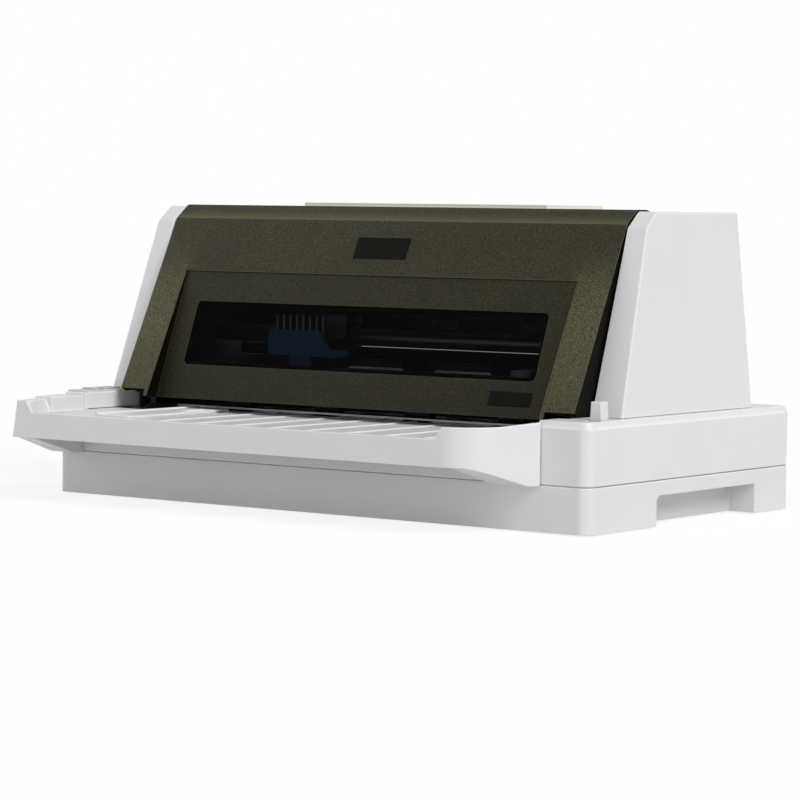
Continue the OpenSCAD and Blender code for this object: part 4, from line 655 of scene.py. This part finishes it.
def screw_tree():
    """Pan-head screws with a cross, pointing down, in rows of two."""
    tree, source = tree_of(
        "case_screws", Vector="Place",
        Float="Across Front Middle Back Head Head_height Shank Shank_length Cross")
    head = add(tree, "cylinder", 28, Radius=source["Head"], Depth=source["Head_height"])
    reach = add(tree, "times", source["Head"], 1.3)
    bars = [add(tree, "cube", add(tree, "point", *sizes, source["Head_height"]))
            for sizes in ((reach, source["Cross"]), (source["Cross"], reach))]
    down = add(tree, "times", source["Head_height"], -0.6)
    cutter = add(tree, "move", add(tree, "join", bars), add(tree, "point", Z=down))
    cut = add(tree, "GeometryNodeMeshBoolean", head, cutter, settings={"operation": "DIFFERENCE"})
    shank = add(tree, "cylinder", 20, Radius=source["Shank"], Depth=source["Shank_length"])
    lift = add(tree, "times", source["Shank_length"], 0.5)
    screw = add(tree, "join", [cut, add(tree, "move", shank, add(tree, "point", Z=lift))])
    side = add(tree, "times", source["Across"], -0.5)
    step = add(tree, "point", source["Across"])
    rows = [add(tree, "line", 2, add(tree, "point", side, source[label]), step)
            for label in ("Front", "Middle", "Back")]
    return close_tree(tree, source, add(tree, "copies", add(tree, "join", rows), Instance=screw))


# Operators, one for each piece or group of like pieces

class PRINTER_OT_stage(bpy.types.Operator):
    """Make the floor, the lights, the pale surroundings and the camera"""
    bl_idname = "printer.stage"
    bl_label = "Stage and camera"

    def execute(self, context):
        stage = context.scene.printer_stage
        view = bpy.data.cameras.new("photo_camera")
        view.sensor_width = SENSOR_MM
        view.lens = stage.lens
        view.clip_start, view.clip_end = 0.05, 60
        camera = bpy.data.objects.new("photo_camera", view)
        axes = [Vector(axis) for axis in (CAMERA_RIGHT, CAMERA_UP, CAMERA_BACK)]
        place = Matrix(axes).transposed().to_4x4()
        place.translation = CAMERA_PLACE
        camera.matrix_world = place
        context.scene.collection.objects.link(camera)
        context.scene.camera = camera
        # Floor that stays pale and keeps the object's shadow
        shape = bmesh.new()
        bmesh.ops.create_grid(shape, x_segments=1, y_segments=1, size=14)
        floor = plain_object("floor", shape)
        floor.data.materials.append(self.floor_material(stage.floor))
        context.scene.collection.objects.link(floor)
        # Name, strength, the way to the light and how wide it looks in degrees
        for name, strength, toward, width in (
                ("key_light", stage.key, (0.743, -0.16, 0.65), 36),
                ("front_light", stage.front, (0.3, -0.95, 0.09), 40),
                ("left_light", stage.side, (-0.9, -0.2, 0.4), 30)):
            data = bpy.data.lights.new(name, "SUN")
            data.energy = strength
            data.angle = math.radians(width)
            lamp = bpy.data.objects.new(name, data)
            lamp.matrix_world = Vector(toward).to_track_quat("Z", "Y").to_matrix().to_4x4()
            context.scene.collection.objects.link(lamp)
        self.surroundings(context.scene, stage.fill)
        context.scene.view_settings.view_transform = "Standard"
        return {"FINISHED"}

    def floor_material(self, tone):
        """Pale floor: white to the camera where it is lit, grey in the object's shadow, and of
        one plain tone in the light that it throws back."""
        material = bpy.data.materials.new("pale_floor")
        material.use_nodes = True
        tree = material.node_tree
        tree.nodes.clear()
        place = add(tree, "ShaderNodeTexCoord", out="Object")
        cloud = add(tree, "ShaderNodeTexNoise", place, Scale=3.0, Detail=1.0)
        paper = add(tree, "ShaderNodeBsdfDiffuse",
                    add(tree, "mix", cloud, rgba(tone), rgba(shade(tone, 0.98))))
        glow = add(tree, "ShaderNodeEmission", (1, 1, 1, 1), 1.06)
        shown = add(tree, "mix_shader", 0.8, paper, glow)
        thrown = add(tree, "ShaderNodeBsdfDiffuse", rgba(shade(tone, 0.88)))
        add(tree, "ShaderNodeOutputMaterial",
            add(tree, "mix_shader", self.seen(tree), thrown, shown))
        return material

    def seen(self, tree):
        """1 for rays from the camera, from a mirror surface or through clear sheet."""
        rays = add(tree, "ShaderNodeLightPath").node.outputs
        mirrored = add(tree, "larger", rays["Is Camera Ray"], rays["Is Transmission Ray"])
        return add(tree, "larger", mirrored, rays["Is Glossy Ray"])

    def surroundings(self, scene, fill):
        """White to the camera, and an even light of strength fill on the object."""
        world = scene.world or bpy.data.worlds.new("surroundings")
        scene.world = world
        world.use_nodes = True
        tree = world.node_tree
        tree.nodes.clear()
        light, white = (add(tree, "ShaderNodeBackground", (1, 1, 1, 1), strength)
                        for strength in (fill, 1.0))
        add(tree, "ShaderNodeOutputWorld", add(tree, "mix_shader", self.seen(tree), light, white))


class PRINTER_OT_case(bpy.types.Operator):
    """Round and finish the lower case, the upper case and the housings"""
    bl_idname = "printer.case"
    bl_label = "Case and housings"

    def execute(self, context):
        edges = context.scene.printer_edges
        for name, node, key, radius, least in (
                ("lower_case_shell", "lower_case", "lower_case", edges.case, 0.0008),
                ("upper_case_shell", "upper_case", "upper_case", edges.case, 0.0008),
                ("left_housing_shell", "left_housing", "housing", edges.housing, 0.0012),
                ("right_housing_shell", "right_housing", "housing", edges.housing, 0.0012),
                ("rear_housing_shell", "rear_housing", "housing", edges.case, 0.0012),
                ("top_lid_plate", "top_lid", "lid", edges.case * 0.6, 0.0012)):
            softened(name, node, "moulded_abs_" + key, radius, least)
        return {"FINISHED"}


class PRINTER_OT_table(bpy.types.Operator):
    """Round and finish the paper table and its sliding edge guide"""
    bl_idname = "printer.table"
    bl_label = "Paper table"

    def execute(self, context):
        edge = context.scene.printer_edges
        softened("ribbed_table", "paper_table", "moulded_abs_upper_case", edge.table)
        softened("sliding_guide", "edge_guide", "moulded_abs_upper_case", edge.small)
        return {"FINISHED"}


class PRINTER_OT_cover(bpy.types.Operator):
    """Round and finish the front cover, its window, plates and pins"""
    bl_idname = "printer.cover"
    bl_label = "Front cover"

    def execute(self, context):
        edge = context.scene.printer_edges
        skin = softened("cover_skin", "front_cover", "lacquered_abs_cover", edge.cover)
        self.paint(skin.data, ("lacquered_abs_recess", "moulded_abs_cover_side"))
        softened("window_pane", "cover_window", "smoked_acrylic_window", edge.small)
        softened("bare_plates", "label_plates", "lacquered_aluminium_plate", edge.small * 0.6)
        dress("ground_steel", "cover_pins")
        return {"FINISHED"}

    def paint(self, data, others):
        """Gives the recessed panel and the bare sides of the skin their own finishes."""
        low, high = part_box("front_cover")
        pane_low, pane_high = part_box("cover_window")
        strip, panel_top, drop = 0.0215, 0.1315, 0.0024
        panel, bare = 1, 2
        for key in others:
            data.materials.append(finish(key))
        # Lean of the recessed panel's face, from the pane that lies in it
        lean = (pane_high.y - pane_low.y) / (pane_high.z - pane_low.z)
        for face in data.polygons:
            middle, normal = face.center, face.normal
            flush = pane_low.y + (middle.z - pane_low.z) * lean
            between = low.x + strip < middle.x < high.x - strip
            to_side, to_floor = abs(normal.x) > 0.75, normal.z < -0.6
            to_back = normal.y > 0.3 and normal.z < 0.5
            if to_side or to_floor or to_back:
                face.material_index = bare
            elif between and middle.z < panel_top and middle.y > flush - drop:
                face.material_index = panel


class PRINTER_OT_controls(bpy.types.Operator):
    """Finish the control panel, its buttons and lenses, the lever and the switch"""
    bl_idname = "printer.controls"
    bl_label = "Controls"

    def execute(self, context):
        edge = context.scene.printer_edges.small
        softened("panel_plate", "control_panel", "moulded_abs_panel", edge * 0.8)
        for node in ("pause_button", "feed_button", "select_button"):
            softened(node + "_cap", node, "moulded_abs_button", edge)
        softened("lens_domes", "indicator_lenses", "moulded_acrylic_lens", edge)
        softened("release_handle", "release_lever", "moulded_abs_upper_case", edge)
        dress("zinc_plated_steel", "release_shaft")
        softened("rocker_cap", "power_switch", "moulded_nylon_socket", edge)
        return {"FINISHED"}


class PRINTER_OT_feet(bpy.types.Operator):
    """Make the rubber feet and the case screws"""
    bl_idname = "printer.feet"
    bl_label = "Feet and screws"

    def execute(self, context):
        detail = context.scene.printer_detail
        softened("rubber_feet", "feet", "moulded_rubber_foot",
                 context.scene.printer_edges.small, least=0.0005)
        low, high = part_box("case_screws")
        head, height, shank, tip, slack = 0.0029, 0.0025, 0.0014, 0.0015, 0.00005
        front, back = low.y + head, high.y - head
        # The middle row is what lies well inside the front and back rows
        well_inside = 0.02
        depths = {round(point.co.y, 5) for point in NODES["case_screws"].data.vertices}
        inner = [y for y in depths if front + well_inside < y < back - well_inside]
        grown("cross_head_screws", screw_tree(), {
            "Place": Vector((0, 0, low.z + height / 2)), "Across": high.x - low.x - 2 * head,
            "Front": front, "Middle": (min(inner) + max(inner)) / 2, "Back": back,
            "Head": head - slack, "Head_height": height, "Shank": shank,
            "Shank_length": high.z - low.z - tip, "Cross": detail.slot_width,
        }, "case_screws", "plated_steel_screw")
        return {"FINISHED"}


class PRINTER_OT_frames(bpy.types.Operator):
    """Finish the steel frames, rails and paper guide"""
    bl_idname = "printer.frames"
    bl_label = "Frames and rails"

    def execute(self, context):
        dress("painted_steel", "left_frame", "right_frame", "rear_rail")
        dress("zinc_plated_steel", "cross_plate")
        dress("ground_steel", "guide_shaft")
        # The guide, with the bar that holds the sheet down and its two feet
        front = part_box("lower_guide")[0].y
        top, thick, reach = 0.0521, 0.001, 0.139
        bars = [(Vector((-reach, front - 0.0058, top - thick)),
                 Vector((reach, front - 0.0038, top)))]
        for middle in (-0.1365, 0.1365):
            bars.append((Vector((middle - 0.0025, front - 0.0044, top - thick)),
                         Vector((middle + 0.0025, front + 0.002, top))))
        softened("sheet_guide", "lower_guide", "zinc_plated_steel",
                 context.scene.printer_edges.small, bars=bars)
        return {"FINISHED"}


class PRINTER_OT_rollers(bpy.types.Operator):
    """Make the grooved rollers and finish the platen and the shafts"""
    bl_idname = "printer.rollers"
    bl_label = "Rollers"

    def execute(self, context):
        detail = context.scene.printer_detail
        tree = roller_tree()
        count, length = 4, 0.018
        for name, node, key in (
                ("front_feed_tyres", "front_feed_rollers", "ground_rubber"),
                ("rear_feed_tyres", "rear_feed_rollers", "ground_rubber"),
                ("exit_tyres", "exit_rollers", "ground_rubber"),
                ("front_pinch_tyres", "front_pressure_rollers", "moulded_abs_black"),
                ("rear_pinch_tyres", "rear_pressure_rollers", "moulded_abs_black")):
            low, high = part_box(node)
            grown(name, tree, {
                "Place": (low + high) / 2, "Count": count, "Length": length, "Rim": 0.0006,
                "Pitch": (high.x - low.x - length) / (count - 1), "Radius": (high.z - low.z) / 2,
                "Groove": detail.groove_pitch, "Depth": detail.groove_depth,
            }, node, key)
        softened("platen_sleeve", "platen", "ground_rubber", 0.0006, least=0.0003)
        dress("ground_steel", "platen_shaft", "front_feed_shaft", "rear_feed_shaft", "exit_shaft")
        dress("blackened_steel", "front_pressure_shaft", "rear_pressure_shaft")
        return {"FINISHED"}


class PRINTER_OT_gears(bpy.types.Operator):
    """Finish the gears, the motors and the pulleys"""
    bl_idname = "printer.gears"
    bl_label = "Gears and motors"

    def execute(self, context):
        dress("moulded_acetal_gear", "front_idler_gear", "rear_idler_gear", "exit_gear_a",
              "exit_gear_b", "idler_pulley")
        dress("turned_brass", "motor_pinion", "drive_pulley")
        for node in ("feed_motor", "carriage_motor"):
            softened(node + "_can", node, "painted_steel_can", 0.0006, least=0.0003)
        return {"FINISHED"}


class PRINTER_OT_belt(bpy.types.Operator):
    """Make the toothed carriage belt"""
    bl_idname = "printer.belt"
    bl_label = "Carriage belt"

    def execute(self, context):
        detail = context.scene.printer_detail
        low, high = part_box("drive_belt")
        size = high - low
        thick = 0.0008
        grown("toothed_belt", belt_tree(), {
            "Place": (low + high) / 2, "Length": size.x - thick, "Width": size.y - thick,
            "Turn": (size.y - thick) / 2, "Thickness": thick, "Height": size.z,
            "Pitch": detail.tooth_pitch, "Tooth": detail.tooth_depth,
        }, "drive_belt", "moulded_rubber_belt")
        return {"FINISHED"}


class PRINTER_OT_head(bpy.types.Operator):
    """Make the head's fins and finish the carriage, head and guard"""
    bl_idname = "printer.head"
    bl_label = "Print head"

    def execute(self, context):
        edge = context.scene.printer_edges.small
        detail = context.scene.printer_detail
        softened("carriage_block", "carriage", "moulded_abs_black", edge)
        softened("head_body", "print_head", "cast_zinc", edge)
        softened("ribbon_shield", "ribbon_guard", "moulded_acetal_guard", edge)
        low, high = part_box("head_heatsink")
        base, half_fin = 0.003, 0.006
        middle = (low + high) / 2
        grown("cast_fins", fin_tree(), {
            "Place": Vector((middle.x, middle.y, low.z + base + half_fin)),
            "Count": detail.fin_count, "Pitch": detail.fin_pitch, "Thickness": detail.fin_thick,
            "Depth": high.y - low.y, "Height": high.z - low.z - base, "Rounding": 0.0009,
            "Block": Vector((high.x - low.x, high.y - low.y - 0.004, base * 0.96)),
        }, "head_heatsink", "cast_aluminium")
        return {"FINISHED"}


class PRINTER_OT_ribbon(bpy.types.Operator):
    """Finish the ribbon cartridge, its knob and the ribbon"""
    bl_idname = "printer.ribbon"
    bl_label = "Ribbon"

    def execute(self, context):
        edge = context.scene.printer_edges.small
        softened("cartridge_shell", "ribbon_cartridge", "moulded_abs_black", edge)
        softened("winding_knob", "ribbon_knob", "moulded_abs_panel", edge, least=0.0004)
        dress("woven_nylon_ribbon", "ribbon")
        return {"FINISHED"}


class PRINTER_OT_boards(bpy.types.Operator):
    """Finish the two boards and the rear sockets"""
    bl_idname = "printer.boards"
    bl_label = "Boards and sockets"

    def execute(self, context):
        dress("masked_epoxy_board", "main_board")
        dress("masked_paper_board", "power_supply")
        softened("rear_socket_shells", "rear_sockets", "moulded_nylon_socket", 0.0002)
        return {"FINISHED"}


OPERATORS = (PRINTER_OT_stage, PRINTER_OT_case, PRINTER_OT_table, PRINTER_OT_cover,
             PRINTER_OT_controls, PRINTER_OT_feet, PRINTER_OT_frames, PRINTER_OT_rollers,
             PRINTER_OT_gears, PRINTER_OT_belt, PRINTER_OT_head, PRINTER_OT_ribbon,
             PRINTER_OT_boards)


class PRINTER_PT_panel(bpy.types.Panel):
    """Sidebar panel with the printer's sizes, colours and pieces"""
    bl_idname = "PRINTER_PT_panel"
    bl_label = "Flatbed printer"
    bl_space_type = "VIEW_3D"
    bl_region_type = "UI"
    bl_category = "Printer"

    def draw(self, context):
        for key, group in GROUPS.items():
            box = self.layout.box()
            box.label(text=group.bl_rna.description)
            for label in group.__annotations__:
                box.prop(getattr(context.scene, key), label)
        column = self.layout.column(align=True)
        for operator in OPERATORS:
            column.operator(operator.bl_idname)


CLASSES = (*GROUPS.values(), *OPERATORS, PRINTER_PT_panel)


def register():
    for group in CLASSES:
        bpy.utils.register_class(group)
    for key, group in GROUPS.items():
        setattr(bpy.types.Scene, key, bpy.props.PointerProperty(type=group))


def unregister():
    for key in GROUPS:
        delattr(bpy.types.Scene, key)
    for group in reversed(CLASSES):
        bpy.utils.unregister_class(group)


def main():
    register()
    for operator in OPERATORS:
        family, call = operator.bl_idname.split(".")
        getattr(getattr(bpy.ops, family), call)()


if __name__ == "__main__":
    main()
